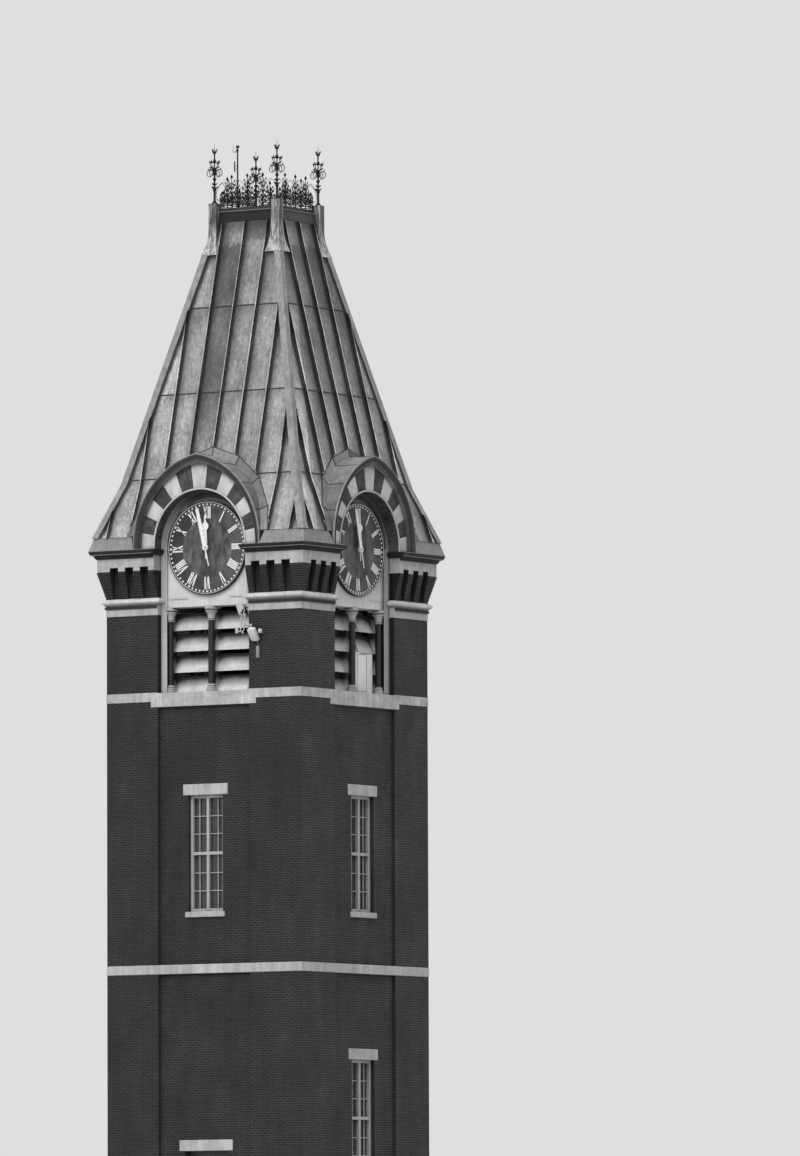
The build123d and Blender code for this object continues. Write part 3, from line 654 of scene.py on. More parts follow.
def panel_finish():
    """Light paint of the panel behind each dial; painted shade greys the splay round it, blackens it under
    the crown and darkens the corners.
    """
    made = Finish("panel_paint", 0.6)
    flat = made.along()[0]
    rise = made.math("MAXIMUM", made.z - ARCH, 0.0)
    reach = made.reach(flat, rise)
    value = made.tones(1.8, 206, 226) * made.noise(5, 0.86, 1.06, 1.4, 0.18) * made.noise(38, 0.96, 1.04)
    # Painted shade on the splay, deeper towards the crown
    splay = made.z.span(ARCH - 0.3, ARCH + 0.2, 0.68, 0.5)
    value *= reach.span(1.455, 1.465, 1.0, splay)
    # Painted shade, black under the crown of the arch
    crown = (rise + flat * 0.3).span(0.1, 1.2, 1.0, 0.1)
    value *= made.math("MAXIMUM", crown, reach.span(1.3, 1.4, 1.0, 0.0))
    made.wood_grain()
    return made.done(value * made.painted_shade(0.12, 0.2, 0.9, 0.6))


def louvre_finish():
    """Sloping boards: light at the lip, with painted shade going black where they run up behind the one
    above, and a painted shadow at one end of each opening.
    """
    made = Finish("louvre_paint", 0.7)
    flat, facing = made.along(sided=True)
    split = facing.span(0, 1, -0.6, -0.24)
    start = made.mix(flat > split, -1.66, split)
    # Painted shadow from the side of each opening
    shadow = made.math("POWER", (flat - start).span(0.0, 0.85, 1.0, 0.0), 3.0) * 0.5
    # Painted shade up each board, black towards its head
    share = made.math("FRACT", (made.z - SILL) / LOUVRE_PITCH).ragged(3, 0.05, across=0.6)
    made.wood_grain()
    value = made.tones(2.2, 196, 226) * made.noise(6, 0.84, 1.06, 1.4, 0.2)
    return made.done(value * (share + shadow).span(0.27, 0.72, 1.0, 0.04))


def dial_finish():
    """Mottled dial: cloudy in the middle, darker under the numerals, with painted light making that ring
    lighter towards the right, a dark rim and a light nut.
    """
    made = Finish("dial_copper", 0.55, 0.35)
    flat = made.along()[0]
    reach = made.reach(flat, made.z - DIAL)
    cloud = made.tones(1.9, 26, 122, upright=0.7, detail=7.0) * made.noise(6, 0.5, 1.45, 1.5, 0.35)
    cloud *= reach.ragged(3, 0.12).span(0.05, 0.5, 0.6)
    # Painted light: the ring under the numerals is lighter towards the right
    outer = made.tones(4, 54, 82) * made.noise(9, 0.8, 1.2, 1.3, 0.5) * flat.span(-0.6, 1.1, 0.75, 1.7)
    track, rim, nut = 0.86, 1.31, 0.045
    value = made.mix(reach.span(track - 0.005, track + 0.005), cloud, outer)
    value = made.mix(reach.span(rim - 0.002, rim + 0.002), value, tone(34))
    made.bump(made.noise(7), 0.005, 0.4)
    return made.done(made.mix(reach < nut, value, tone(220)), made.noise(5, 0.4, 0.65))


def plain_finish(name, level, roughness=0.5, metallic=0.0, spread=0.2, scale=12.0):
    """Cast or painted metal with a little unevenness."""
    made = Finish(name, roughness, metallic)
    made.bump(made.noise(scale * 4), 0.002, 0.35)
    gloss = made.noise(scale, max(roughness - 0.08, 0.05), min(roughness + 0.1, 1.0))
    return made.done(made.mottle(scale, level, spread) * made.noise(scale * 5, 0.94, 1.06), gloss)


def board_finish(name, level):
    """Floor boards with grain and gaps."""
    made = Finish(name, 0.7)
    value, joint = made.bricks(made.vector(made.x, made.y), 2.4, 0.14, 0.004, (level, level + 18, 30))
    made.bump(made.noise(8, 0.0, 0.6, 0.4, 6.0) - joint, 0.003)
    return made.done(value * made.noise(4, 0.8, 1.2, 0.4, 3.0))


def glass_finish():
    """Window glass, slightly uneven."""
    made = Finish("window_glass", 0.03)
    made.shader.inputs["Transmission Weight"].default_value = 0.9
    made.shader.inputs["IOR"].default_value = 1.45
    made.bump(made.noise(0.5, detail=1.0), 0.002, 0.08)
    return made.done(made.tones(3, 150, 176))


brick = brick_finish()
arch_brick = arch_brick_finish()
stone = stone_finish("stone", 190, streak=0.3, joints=1.1)
string_stone = stone_finish("string_stone", 192, streak=0.26, joints=1.1, shade=string_shade)
frieze_stone = stone_finish("frieze_stone", 194, streak=0.3, joints=1.1, dirt=0.25, shade=frieze_shade)
sill_stone = stone_finish("sill_stone", 196, 0.16, 0.26, 1.1, 0.25)
plinth_stone = stone_finish("plinth_stone", 158, streak=0.22, joints=0.9)
arch_stone = arch_stone_finish()
turned_stone = stone_finish("turned_stone", 186, shade=capital_shade)
# Dark stone for the painted shadow under the string course's nose
shadow_stone = stone_finish("shadow_stone", 40, 0.12, 0.18)
roof = roof_finish()
cap_sheet = sheet_finish("cap_sheet", 146, 0.32)
seam_sheet = sheet_finish("seam_sheet", 46)
hood_sheet = hood_finish()
rim_sheet = sheet_finish("rim_sheet", 72, 0.25)
collar_sheet = collar_finish()
flashing_sheet = sheet_finish("flashing_sheet", 138, 0.2, 0.14)
fascia_sheet = deck_finish()
gutter = sheet_finish("gutter", 24, 0.2)
# Painted highlight: a light finish for the outer edges of the gutter and the hoods
gutter_edge = sheet_finish("gutter_edge", 150, 0.25)
peeling = peeling_finish()
panel_paint = panel_finish()
louvre_paint = louvre_finish()
hatch_paint = paint_finish("hatch_paint", 244, 0.08)
bead_paint = paint_finish("bead_paint", 196)
frame_paint = paint_finish("frame_paint", 176, 0.16)
door_paint = paint_finish("door_paint", 72, 0.2, 0.5)
hand_paint = plain_finish("hand_white", 240, spread=0.05)
shaft_paint = plain_finish("shaft_dark", 26, 0.4)
iron = plain_finish("cast_iron", 12, 0.6, 0.2)
pole_metal = plain_finish("pole_metal", 24, 0.5, 0.3)
fixture = plain_finish("fixture", 226, 0.45, spread=0.06)
bracket_paint = plain_finish("bracket_paint", 190, spread=0.1)
groove_paint = plain_finish("groove_paint", 70, 0.6)
conduit_paint = plain_finish("conduit_paint", 138, spread=0.1)
dial_metal = dial_finish()
boards = board_finish("floor_boards", 92)
glass = glass_finish()


# Masonry

for node in ("corner_piers", "front_wall", "right_wall", "back_wall", "left_wall"):
    finished(node, brick)
for node in ("ground_floor", "upper_floor", "belfry_floor"):
    finished(node, boards)
for node, finish, ease in (("plinth", plinth_stone, 0.015), ("sill_course", sill_stone, 0.012),
                           ("storey_band", stone, 0.012), ("window_stones", stone, 0.012),
                           ("string_course", string_stone, 0.012), ("frieze", frieze_stone, 0.012)):
    dressed(node, finish, "stone", ease)


def corner_run(bm, out, back, low, high, into):
    """Strip round the outside of one corner, stopped at this distance from the middle of each bay."""
    box(bm, -out, -into, -out, -back, low, high)
    box(bm, -out, -back, -back, -into, low, high)


def nose_shadows():
    """Dark strip under the nose of the string course, as a painted shadow."""
    bm = bmesh.new()
    corner_run(bm, HALF + 0.046, HALF, STRING + 0.215, STRING + 0.282, BAY + 0.005)
    fourfold(bm, "string_quirks", shadow_stone, "stone", bevel=0.003)


def corbel_courses():
    """Brick courses stepping out in ribs, with the dark recesses between them."""
    bm = bmesh.new()
    count = 11
    course = (FRIEZE - CORBEL) / count
    first_recess, recess_half, spacing = BAY + 0.35, 0.145, 0.53
    rib_back, recess_face, return_end = 3.3, 3.34, 2.8
    starts = [BAY] + [first_recess + recess_half + spacing * index for index in range(3)]
    ends = [first_recess - recess_half + spacing * index for index in range(3)]
    for row in range(count):
        low = CORBEL + row * course
        high = low + course
        out = HALF + (FRIEZE_FACE - HALF) * (row + 1) / count
        for first, last in zip(starts, ends):
            box(bm, first, last, -out, -rib_back, low, high)
            box(bm, rib_back, out, -last, -first, low, high)
        box(bm, starts[-1], out, -out, -starts[-1], low, high)
        box(bm, BAY, recess_face, -recess_face, -return_end, low, high)
        box(bm, return_end, recess_face, -return_end, -BAY, low, high)
    fourfold(bm, "corbel_courses", brick, "brick", ("corbel_table",), bevel=0.003)


def voussoirs(first, name, finish, slot, node):
    """Every second wedge of the arch, round inside and pointed outside."""
    bm = bmesh.new()
    count, wedge, cuts = 13, 14.4, 6
    radius, offset, impost = 2.385, 0.345, 2.04
    peak = ARCH + sqrt(radius ** 2 - offset ** 2)
    for index in range(first, count, 2):
        low = (index - count / 2) * wedge
        turns = [radians(low + wedge * step / cuts) for step in range(cuts + 1)]
        inner = [(BAY * sin(turn), ARCH + BAY * cos(turn)) for turn in turns]
        outer = []
        for turn in turns:
            reach = -offset * abs(sin(turn)) + sqrt(radius ** 2 - (offset * cos(turn)) ** 2)
            outer.append((reach * sin(turn), ARCH + reach * cos(turn)))
        if index in (0, count - 1):
            side = -1 if index == 0 else 1
            keep = [step for step, turn in enumerate(turns) if abs(turn) < pi / 2][::-side]
            head = [(side * impost, ARCH)] + [outer[step] for step in keep]
            back = [inner[step] for step in keep[::-1]] + [(side * BAY, ARCH)]
            outline = [(side * impost, SPRINGING)] + head + back + [(side * BAY, SPRINGING)]
        else:
            middle = (0, peak) if index == count // 2 else outer[3]
            outline = inner + outer[:3:-1] + [middle] + outer[2::-1]
        slab(bm, outline, -ARCH_FACE, -ARCH_BACK)
    fourfold(bm, name, finish, slot, (node,), bevel=0.01, segments=2, smooth=40)


def arch_linings():
    """Thin light bead on the inner edge of each arch, and the lining of the reveal behind it, dark with
    painted shade.
    """
    bead = bmesh.new()
    moulding(bead, round_path(BAY, ARCH, SPRINGING, 40), circle(0.028, 8, -0.005, ARCH_FACE))
    fourfold(bead, "arch_beads", arch_stone, "arch_stone", smooth=50)
    lining = bmesh.new()
    front = ARCH_FACE - 0.03
    profile = [(-0.012, front), (0.002, front), (0.002, JAMB_FACE), (-0.012, JAMB_FACE)]
    moulding(lining, round_path(BAY - 0.001, ARCH, SPRINGING, 40), profile)
    fourfold(lining, "arch_soffits", arch_brick, "arch_brick", smooth=40)


def gutter_edges():
    """Thin light beads on the outer edge of the gutter as a painted highlight, and a dark bed moulding under
    it as a painted shadow.
    """
    light = bmesh.new()
    dark = bmesh.new()
    lip, channel, bed = 3.787, 3.762, 3.6
    # Painted highlight: light beads on the gutter's edges
    corner_run(light, lip, lip - 0.015, SPRINGING - 0.022, SPRINGING + 0.004, BAY + 0.02)
    corner_run(light, channel, channel - 0.022, CORNICE + 0.034, CORNICE + 0.048, BAY + 0.02)
    # Painted shadow: a dark moulding under the gutter
    corner_run(dark, bed + 0.065, bed, CORNICE - 0.05, CORNICE + 0.002, BAY + 0.01)
    corner_run(dark, bed + 0.035, bed, CORNICE - 0.085, CORNICE - 0.05, BAY + 0.01)
    fourfold(light, "gutter_beads", gutter_edge, "gutter_metal", bevel=0.004, segments=2, smooth=40)
    fourfold(dark, "bed_mouldings", gutter, "gutter_metal", bevel=0.006, smooth=40)


nose_shadows()
corbel_courses()
voussoirs(0, "voussoir_stones", arch_stone, "arch_stone", "arch_stones")
voussoirs(1, "voussoir_bricks", arch_brick, "arch_brick", "arch_bricks")
arch_linings()
dressed("eaves_cornice", gutter, "gutter_metal", 0.006)
gutter_edges()
dressed("eaves_flashings", flashing_sheet, "roof_metal")


# Roof

for side in SIDES:
    finished(side + "_roof_slope", roof)
dressed("hip_caps", cap_sheet, "roof_metal", 0.006)
dressed("dormer_hoods", hood_sheet, "roof_metal", 0.0)
dressed("corner_posts", peeling, "roof_metal", 0.006, 25)
dressed("roof_deck", fascia_sheet, "roof_metal", 0.006)


def hood_mouldings():
    """Roll on the outer edge of each hood with two flat fillets inside it, and its light outer edge as a
    painted highlight.
    """
    bm = bmesh.new()
    path = pointed_path(HOOD_HALF, SPRINGING, 18)
    moulding(bm, path, circle(0.034, 10, -0.03, HOOD_FACE - 0.02))
    for out in (-0.075, -0.13):
        inner, outer = out - 0.012, out + 0.012
        moulding(bm, path, [(inner, HOOD_RECESS), (inner, HOOD_RECESS + 0.05),
                            (outer, HOOD_RECESS + 0.057), (outer, HOOD_RECESS)])
    edge = bmesh.new()
    moulding(edge, path, [(0.002, HOOD_FACE - 0.05), (0.012, HOOD_FACE - 0.04), (0.012, HOOD_FACE + 0.008),
                          (-0.012, HOOD_FACE + 0.014), (-0.012, HOOD_FACE - 0.04)])
    fourfold(edge, "hood_edges", gutter_edge, "roof_metal", smooth=40)
    fourfold(bm, "hood_mouldings", rim_sheet, "roof_metal", smooth=40)


def vault_seams():
    """Cross seams of each hood, from its rim back to the slope."""
    bm = bmesh.new()
    for x, z in pointed_path(HOOD_HALF, SPRINGING, 12)[4:23:3]:
        back = roof_half(max(z, EAVE)) - 0.02
        if back < HOOD_FACE - 0.12:
            bar(bm, [(x, -HOOD_FACE + 0.04, z), (x, -back, z)], 0.013)
    fourfold(bm, "vault_seams", seam_sheet, "roof_metal", smooth=60)


def flashing_collars():
    """Faceted collar on the slope round each hood: separate flat sheets, with dark seams between them."""
    bm = bmesh.new()
    seams = bmesh.new()
    low = EAVE + 0.02
    inner = pointed_path(HOOD_HALF - 0.05, low, 4)[1:-1]
    outer = pointed_path(HOOD_HALF + 0.26, low, 4)[1:-1]

    def laid(point, off):
        x, z = point[0], max(point[1], low)
        return x, -(roof_half(z) + off), z

    for index in range(len(inner) - 1):
        corners = (inner[index], inner[index + 1], outer[index + 1], outer[index])
        sheet = bm.faces.new([bm.verts.new(laid(corner, 0.02)) for corner in corners])
        foot = vertices(bmesh.ops.extrude_face_region(bm, geom=[sheet]))
        bmesh.ops.translate(bm, verts=foot, vec=(0, 0.018, 0))
    for ends in list(zip(inner, outer))[1:-1]:
        bar(seams, [laid(end, 0.024) for end in ends], 0.014)
    for ends in zip(outer, outer[1:]):
        bar(seams, [laid(end, 0.016) for end in ends], 0.013)
    fourfold(seams, "collar_seams", seam_sheet, "roof_metal", smooth=60)
    fourfold(bm, "flashing_collars", collar_sheet, "roof_metal")


def lap_seams():
    """Folded cross seams of the slopes; the lowest one stops at the hoods."""
    bm = bmesh.new()
    hood, thick = 1.62, 0.015
    for level in LAPS:
        reach = roof_half(level)
        runs = [(-reach, reach)]
        if level == LAPS[0]:
            runs = [(-reach + 0.05, -hood), (hood, reach - 0.05)]
        low, high = level - thick, level + thick
        lean = roof_half(low) - roof_half(high)
        for first, last in runs:
            for vert in box(bm, first, last, -0.012, 0.012, low, high):
                vert.co.y -= reach + 0.006 - lean * (vert.co.z - level) / (high - low)
    fourfold(bm, "lap_seams", seam_sheet, "roof_metal", bevel=0.003)


def deck_mouldings():
    """Ogee under the drip lip of the fascia, and a bead at its foot."""
    bm = bmesh.new()
    half, back = 0.965, 1.07
    box(bm, -half, half, -1.096, -back, FASCIA_TOP - 0.04, FASCIA_TOP - 0.004)
    box(bm, -half, half, -1.088, -back, DECK + 0.015, DECK + 0.04)
    fourfold(bm, "fascia_mouldings", fascia_sheet, "roof_metal", bevel=0.006, segments=2)


hood_mouldings()
vault_seams()
flashing_collars()
lap_seams()
deck_mouldings()


# Ironwork

CREST_RAILS = (0.09, 0.15)
CREST_REACH = 0.954
CREST_LINK = ((0.0, 0.79), (0.05, 0.765), (0.09, 0.735), (0.13, 0.70), (0.19, 0.62), (0.226, 0.514),
              (0.24, 0.45), (0.245, 0.37), (0.225, 0.29))

# Each pair of leafy stalks: its height on the stem, its reach, its rise and the size of its leaves
TALL_SPRAYS = ((0.20, 0.085, 0.03, 0.10), (0.32, 0.12, 0.05, 0.12), (0.45, 0.13, 0.06, 0.12),
               (0.60, 0.075, 0.05, 0.085), (0.71, 0.085, 0.06, 0.085))
SMALL_SPRAYS = ((0.22, 0.09, 0.03, 0.09), (0.34, 0.07, 0.045, 0.09))


def scroll(bm, centre, flat, radius, start, turn, thick):
    """Open C-shaped scroll in an upright plane."""
    points = []
    for step in range(15):
        angle = start + turn * step / 14
        reach = radius * (1 - 0.3 * step / 14)
        points.append(centre + flat * (reach * cos(angle)) + up(reach * sin(angle)))
    bar(bm, points, thick, 5, 0.75)


def spray(bm, start, flat, reach, rise, size):
    """Pair of curved stalks with leaves at each end."""
    for out in (-flat, flat):
        points = [start, start + out * reach * 0.55 + up(rise * 0.2), start + out * reach + up(rise)]
        bar(bm, points, 0.013, 5, 0.8)
        leaf(bm, points[2], out * 0.45 + up(1), out, size, size * 0.6)
        leaf(bm, points[2], out * 0.9 + up(0.15), (out.y, -out.x, 0), size * 0.75, size * 0.5)
        leaf(bm, points[1], out * 0.3 - up(1), out, size * 0.7, size * 0.5)


def fleuron(bm, x, sprays, buds, head):
    """Upright cast ornament: a stem, pairs of leafy stalks along and across the rail, and a bud on top."""
    foot = Vector((x, -CREST_LINE, CURB_TOP))
    bar(bm, [foot, foot + up(head * 0.5), foot + up(head)], 0.019, 6, 0.55)
    for level, reach, rise, size in sprays:
        spray(bm, foot + up(level), Vector((1, 0, 0)), reach, rise, size)
    for level in buds:
        spray(bm, foot + up(level), Vector((0, 1, 0)), 0.055, 0.04, 0.075)
    for turn in range(4):
        across = (cos(turn * pi / 4), sin(turn * pi / 4), 0)
        leaf(bm, foot + up(head - 0.02), (0, 0, 1), across, 0.15, 0.085)
    for side in (-1, 1):
        scroll(bm, foot + Vector((side * 0.085, 0, 0.23)), Vector((1, 0, 0)), 0.06, pi if side > 0 else 0,
               -side * 1.7 * pi, 0.011)


def cresting():
    """Three tall fleurons a side on two rails, and four thin pointed links over smaller fleurons."""
    bm = bmesh.new()
    pitch = POST_AXIS / 2
    for level in CREST_RAILS:
        box(bm, -CREST_REACH, CREST_REACH, -CREST_LINE - 0.011, -CREST_LINE + 0.011,
            CURB_TOP + level - 0.011, CURB_TOP + level + 0.011)
    for side in (-1, 1):
        end = side * (CREST_REACH - 0.012)
        box(bm, end - 0.012, end + 0.012, -CREST_LINE - 0.012, -CREST_LINE + 0.012, CURB_TOP,
            CURB_TOP + CREST_RAILS[1])
    for index in range(3):
        fleuron(bm, (index - 1) * pitch, TALL_SPRAYS, (0.26, 0.42, 0.57), 0.87)
    for index in range(4):
        x = (index - 1.5) * pitch
        fleuron(bm, x, SMALL_SPRAYS, (0.28,), 0.42)
        for side in (-1, 1):
            # The outer legs lean out, clear of the corner posts
            outer = abs(x + side * pitch / 2) > CREST_REACH
            points = []
            for out, rise in CREST_LINK:
                lean = 0.3 * max(0, out - 0.1) if outer else 0
                points.append((x + side * out, -CREST_LINE - lean, CURB_TOP + rise))
            bar(bm, points, 0.0065, 5)
            leaf(bm, points[-3], (side, 0, 0.5), (0, 1, 0), 0.07, 0.04)
            leaf(bm, points[-1], (-side, 0, -0.6), (0, 1, 0), 0.09, 0.05)
    fourfold(bm, "iron_cresting", iron, "iron", ("cresting",), smooth=40)


FINIAL_STEM = (
    (0.0, 0.0), (0.085, 0.0), (0.085, 0.03), (0.055, 0.055), (0.036, 0.10), (0.032, 0.36), (0.05, 0.38),
    (0.055, 0.42), (0.036, 0.45), (0.028, 0.50), (0.026, 0.82), (0.04, 0.87), (0.042, 0.93), (0.026, 0.99),
    (0.018, 1.06), (0.018, 1.21), (0.036, 1.235), (0.046, 1.27), (0.036, 1.305), (0.018, 1.33),
    (0.024, 1.45), (0.028, 1.50), (0.014, 1.55), (0.009, 1.58), (0.0015, 1.81), (0.0, 1.81))

# Leaves on the stem: height, distance from the axis, size and lean
FINIAL_LEAVES = ((0.42, 0.02, 0.15, 1.1), (0.54, 0.015, 0.13, 1.3), (0.66, 0.015, 0.12, 0.5),
                 (1.0, 0.015, 0.12, 0.8), (1.2, 0.02, 0.09, 1.2))


def finials():
    """Corner finials: turned stem, leaves, four ring scrolls, a ball, a four-pronged head and a spike."""
    bm = bmesh.new()
    foot = Vector((POST_AXIS, -POST_AXIS, POST_TOP))
    spun(bm, FINIAL_STEM, foot, 12)

    def out(*steps):
        return [foot + flat * reach + up(rise) for reach, rise in steps]

    for flat in (Vector((1, 0, 0)), Vector((0, 1, 0)), Vector((-1, 0, 0)), Vector((0, -1, 0))):
        across = (-flat.y, flat.x, 0)
        for level, reach, size, lean in FINIAL_LEAVES:
            leaf(bm, *out((reach, level)), flat * lean + up(1), across, size, size * 0.55, 0.04)
        bar(bm, out((0.0, 0.84), (0.04, 0.93), (0.09, 0.99), (0.15, 1.0)), 0.013, 6)
        scroll(bm, *out((0.165, 0.895)), flat, 0.112, pi * 0.5, -1.7 * pi, 0.013)
        leaf(bm, *out((0.17, 0.995)), flat * 0.8 + up(0.6), across, 0.10, 0.06, 0.045)
        stalk = out((0.02, 0.97), (0.10, 1.06), (0.15, 1.18))
        bar(bm, stalk, 0.011, 5, 0.8)
        leaf(bm, stalk[2] - up(0.02), flat * 0.25 + up(1), across, 0.14, 0.085, 0.05)
        leaf(bm, stalk[1], flat + up(0.5), across, 0.11, 0.07, 0.04)
        prong = out((0.0, 1.49), (0.05, 1.50), (0.072, 1.58))
        bar(bm, prong, 0.019, 6, 0.8)
        leaf(bm, prong[2] - up(0.03), flat * 0.3 + up(1), across, 0.08, 0.05, 0.04)
    fourfold(bm, "iron_finials", iron, "iron", ("corner_finials",), smooth=40)


def mast():
    """Thin pole with a small box at its head, a short arm, and an antenna bar on two stubs lower down."""
    bm = bmesh.new()
    x, y, foot, top = -0.6, -0.63, 30.71, 32.66
    bar(bm, [(x, y, foot), (x, y, 31.9), (x, y, top)], 0.024, 12, 0.9)
    plate = [(0.0, 0.0), (0.07, 0.0), (0.07, 0.012), (0.03, 0.02), (0.03, 0.07), (0.0, 0.07)]
    spun(bm, plate, (x, y, foot), 16)
    box(bm, x - 0.035, x + 0.045, y - 0.03, y + 0.03, top - 0.045, top + 0.025)
    box(bm, x - 0.045, x + 0.025, y - 0.025, y + 0.025, top - 0.14, top - 0.09)
    side = Vector((-0.834, -0.552, 0))
    pole = Vector((x, y, 0))
    arm, stub = 0.135, 0.087
    for level, reach, thick in ((top - 0.165, arm, 0.011), (32.08, stub, 0.009), (31.99, stub, 0.009)):
        start = pole + up(level)
        bar(bm, [start, start + side * reach * 0.5, start + side * reach], thick)
    for reach, low, high, thick in ((arm, top - 0.175, top + 0.02, 0.0045), (stub, 31.9, 32.21, 0.018)):
        bar(bm, [pole + side * reach + up(level) for level in (low, (low + high) / 2, high)], thick)
    piece(bm, "antenna_mast", pole_metal, "mast_metal", ("mast",), smooth=40)


cresting()
finials()
mast()


# Bays, dials and hands

dressed("dial_panels", panel_paint, "painted_panel", 0.0, 20)
dressed("dials", dial_metal, "dial_copper", 0.0, 20)
finished("louvre_hatch", hatch_paint)
dressed("louvres", louvre_paint, "painted_wood", 0.006)


def hatch_grooves():
    """Grooves round the raised field of the hatch, and the dark joint over it."""
    bm = bmesh.new()
    head = SILL + 2 * LOUVRE_PITCH
    face, groove = HATCH_FACE, 0.008
    left, right, low, high = 0.48, 0.95, SILL + 0.1, head - 0.05
    for y in (left, right):
        box(bm, face, face + 0.013, y - groove, y + groove, low, high)
    for z in (low, high):
        box(bm, face, face + 0.013, left - groove, right + groove, z - groove, z + groove)
    box(bm, face, face + 0.015, 0.62, 1.26, head - 0.022, head - 0.004)
    piece(bm, "hatch_grooves", groove_paint, "painted_wood", bevel=0.002)


def stroke(bm, turn, points):
    """Flat white stroke in a numeral's own frame: along the rim, then out from the middle."""
    outline = [(cos(turn) * along + sin(turn) * out, DIAL - sin(turn) * along + cos(turn) * out)
               for along, out in points]
    slab(bm, outline, -DIAL_FACE - 0.006, -DIAL_FACE)


def numerals():
    """Roman numerals with their feet towards the middle, and a square for every minute."""
    bm = bmesh.new()
    low, high = 0.845, 1.222
    thick, thin, lean = 0.043, 0.022, 0.048
    serif, serif_height = 0.031, 0.013
    # Each letter: its width, its strokes (foot, head, thickness) and the ends that have a serif
    letters = {
        "I": (0.06, ((0.0, 0.0, thick),), ((0.0, low), (0.0, high))),
        "V": (0.145, ((-0.008, -lean, thick), (0.008, lean, thin)), ((-lean, high), (lean, high))),
        "X": (0.145, ((lean, -lean, thick), (-lean, lean, thin)),
              ((-lean, low), (-lean, high), (lean, low), (lean, high)))}
    names = ("XII", "I", "II", "III", "IIII", "V", "VI", "VII", "VIII", "IX", "X", "XI")
    for hour, name in enumerate(names):
        turn = radians(hour * 30)
        place = -sum(letters[letter][0] for letter in name) / 2
        for letter in name:
            width, strokes, ends = letters[letter]
            middle = place + width / 2
            place += width
            for foot, head, wide in strokes:
                foot, head = middle + foot, middle + head
                stroke(bm, turn, [(foot - wide / 2, low), (foot + wide / 2, low), (head + wide / 2, high),
                                  (head - wide / 2, high)])
            for along, out in ends:
                left, right = middle + along - serif, middle + along + serif
                inward = out + (serif_height if out == low else -serif_height)
                stroke(bm, turn, [(left, out), (right, out), (right, inward), (left, inward)])
    inner, outer = 1.25, 1.305
    for minute in range(60):
        wide = 0.034 if minute % 5 == 0 else 0.026
        stroke(bm, radians(minute * 6), [(-wide, inner), (wide, inner), (wide, outer), (-wide, outer)])
    fourfold(bm, "numerals", hand_paint, "hand_white")


def dial_rims():
    """Light roll round each dial."""
    bm = bmesh.new()
    radius = 1.335
    turns = [pi - pi * step / 48 for step in range(97)]
    path = [(radius * cos(turn), DIAL + radius * sin(turn)) for turn in turns]
    moulding(bm, path, circle(0.013, 10, 0.0, DIAL_FACE + 0.023))
    fourfold(bm, "dial_rims", bead_paint, "painted_panel", smooth=50, weld=True)


def panel_mouldings():
    """Short ledges near the lower corners of each panel, and the beads round its opening."""
    bm = bmesh.new()
    for x0, x1 in ((-1.38, -0.74), (0.74, 1.38)):
        box(bm, x0, x1, -PANEL_FACE - 0.03, -PANEL_FACE, STRING + 0.46, STRING + 0.478)
    moulding(bm, round_path(1.575, ARCH, SILL + 0.02, 40), circle(0.014, 8, 0.0, JAMB_FACE + 0.004))
    back, front = PANEL_FACE + 0.035, PANEL_FACE + 0.05
    ledge = [(0.0, back), (0.0, front), (-0.02, front), (-0.02, back)]
    moulding(bm, round_path(1.452, ARCH, LINTEL + 0.01, 40), ledge)
    fourfold(bm, "panel_mouldings", panel_paint, "painted_panel", smooth=40)


def hand(side, kind, face, angle):
    """One hand: a flat tapering blade, its tail and its hub; the short one has a bulb."""
    bm = bmesh.new()
    if kind == "minute":
        half, length = 0.052, 1.15
        turns = [pi * step / 6 for step in range(1, 6)]
        tip = [(half * cos(turn), length + half * sin(turn)) for turn in turns]
        blade = [(0.07, 0.0), (0.064, 0.6), (half, length)]
        tail = [(0.022, 0.0), (0.017, -0.56)]
    else:
        radius, middle = 0.118, 0.625
        turns = [radians(turn) for turn in range(20, 170, 15)]
        bulb = [(radius * sin(turn), middle - radius * cos(turn)) for turn in turns]
        tip = [(0.0, 0.96)]
        blade = [(0.062, 0.0), (0.05, 0.48)] + bulb + [(0.022, 0.80), (0.022, 0.95)]
        tail = [(0.022, 0.0), (0.015, -0.33)]
    slab(bm, blade + tip + [(-x, z) for x, z in blade[::-1]], -face, -face + 0.012)
    slab(bm, tail + [(-x, z) for x, z in tail[::-1]], -face, -face + 0.010)
    for radius, front, back in ((0.09, face + 0.006, face - 0.022), (0.05, face + 0.01, face)):
        slab(bm, circle(radius, 28), -front, -back)
    turned(bm, bm.verts, angle, "Y")
    bmesh.ops.translate(bm, verts=bm.verts, vec=(0, 0, DIAL))
    turned(bm, bm.verts, SIDES[side])
    node = side + "_" + kind + "_hand"
    piece(bm, node + "_blade", hand_paint, "hand_white", (node,), node, bevel=0.003, smooth=30)


COLUMN_BASE = (
    (0.0, 0.0), (0.155, 0.0), (0.155, 0.10), (0.15, 0.115), (0.142, 0.12), (0.15, 0.135), (0.142, 0.155),
    (0.118, 0.165), (0.115, 0.18), (0.128, 0.195), (0.126, 0.21), (0.108, 0.225), (0.104, 0.24), (0.0, 0.24))
COLUMN_CAPITAL = (
    (0.0, 0.0), (0.11, 0.0), (0.122, 0.012), (0.122, 0.03), (0.108, 0.042), (0.108, 0.10), (0.118, 0.16),
    (0.14, 0.215), (0.16, 0.24), (0.176, 0.25), (0.182, 0.275), (0.17, 0.29), (0.166, 0.305),
    (0.196, 0.325), (0.205, 0.34), (0.205, 0.375), (0.192, 0.39), (0.192, 0.41), (0.0, 0.41))


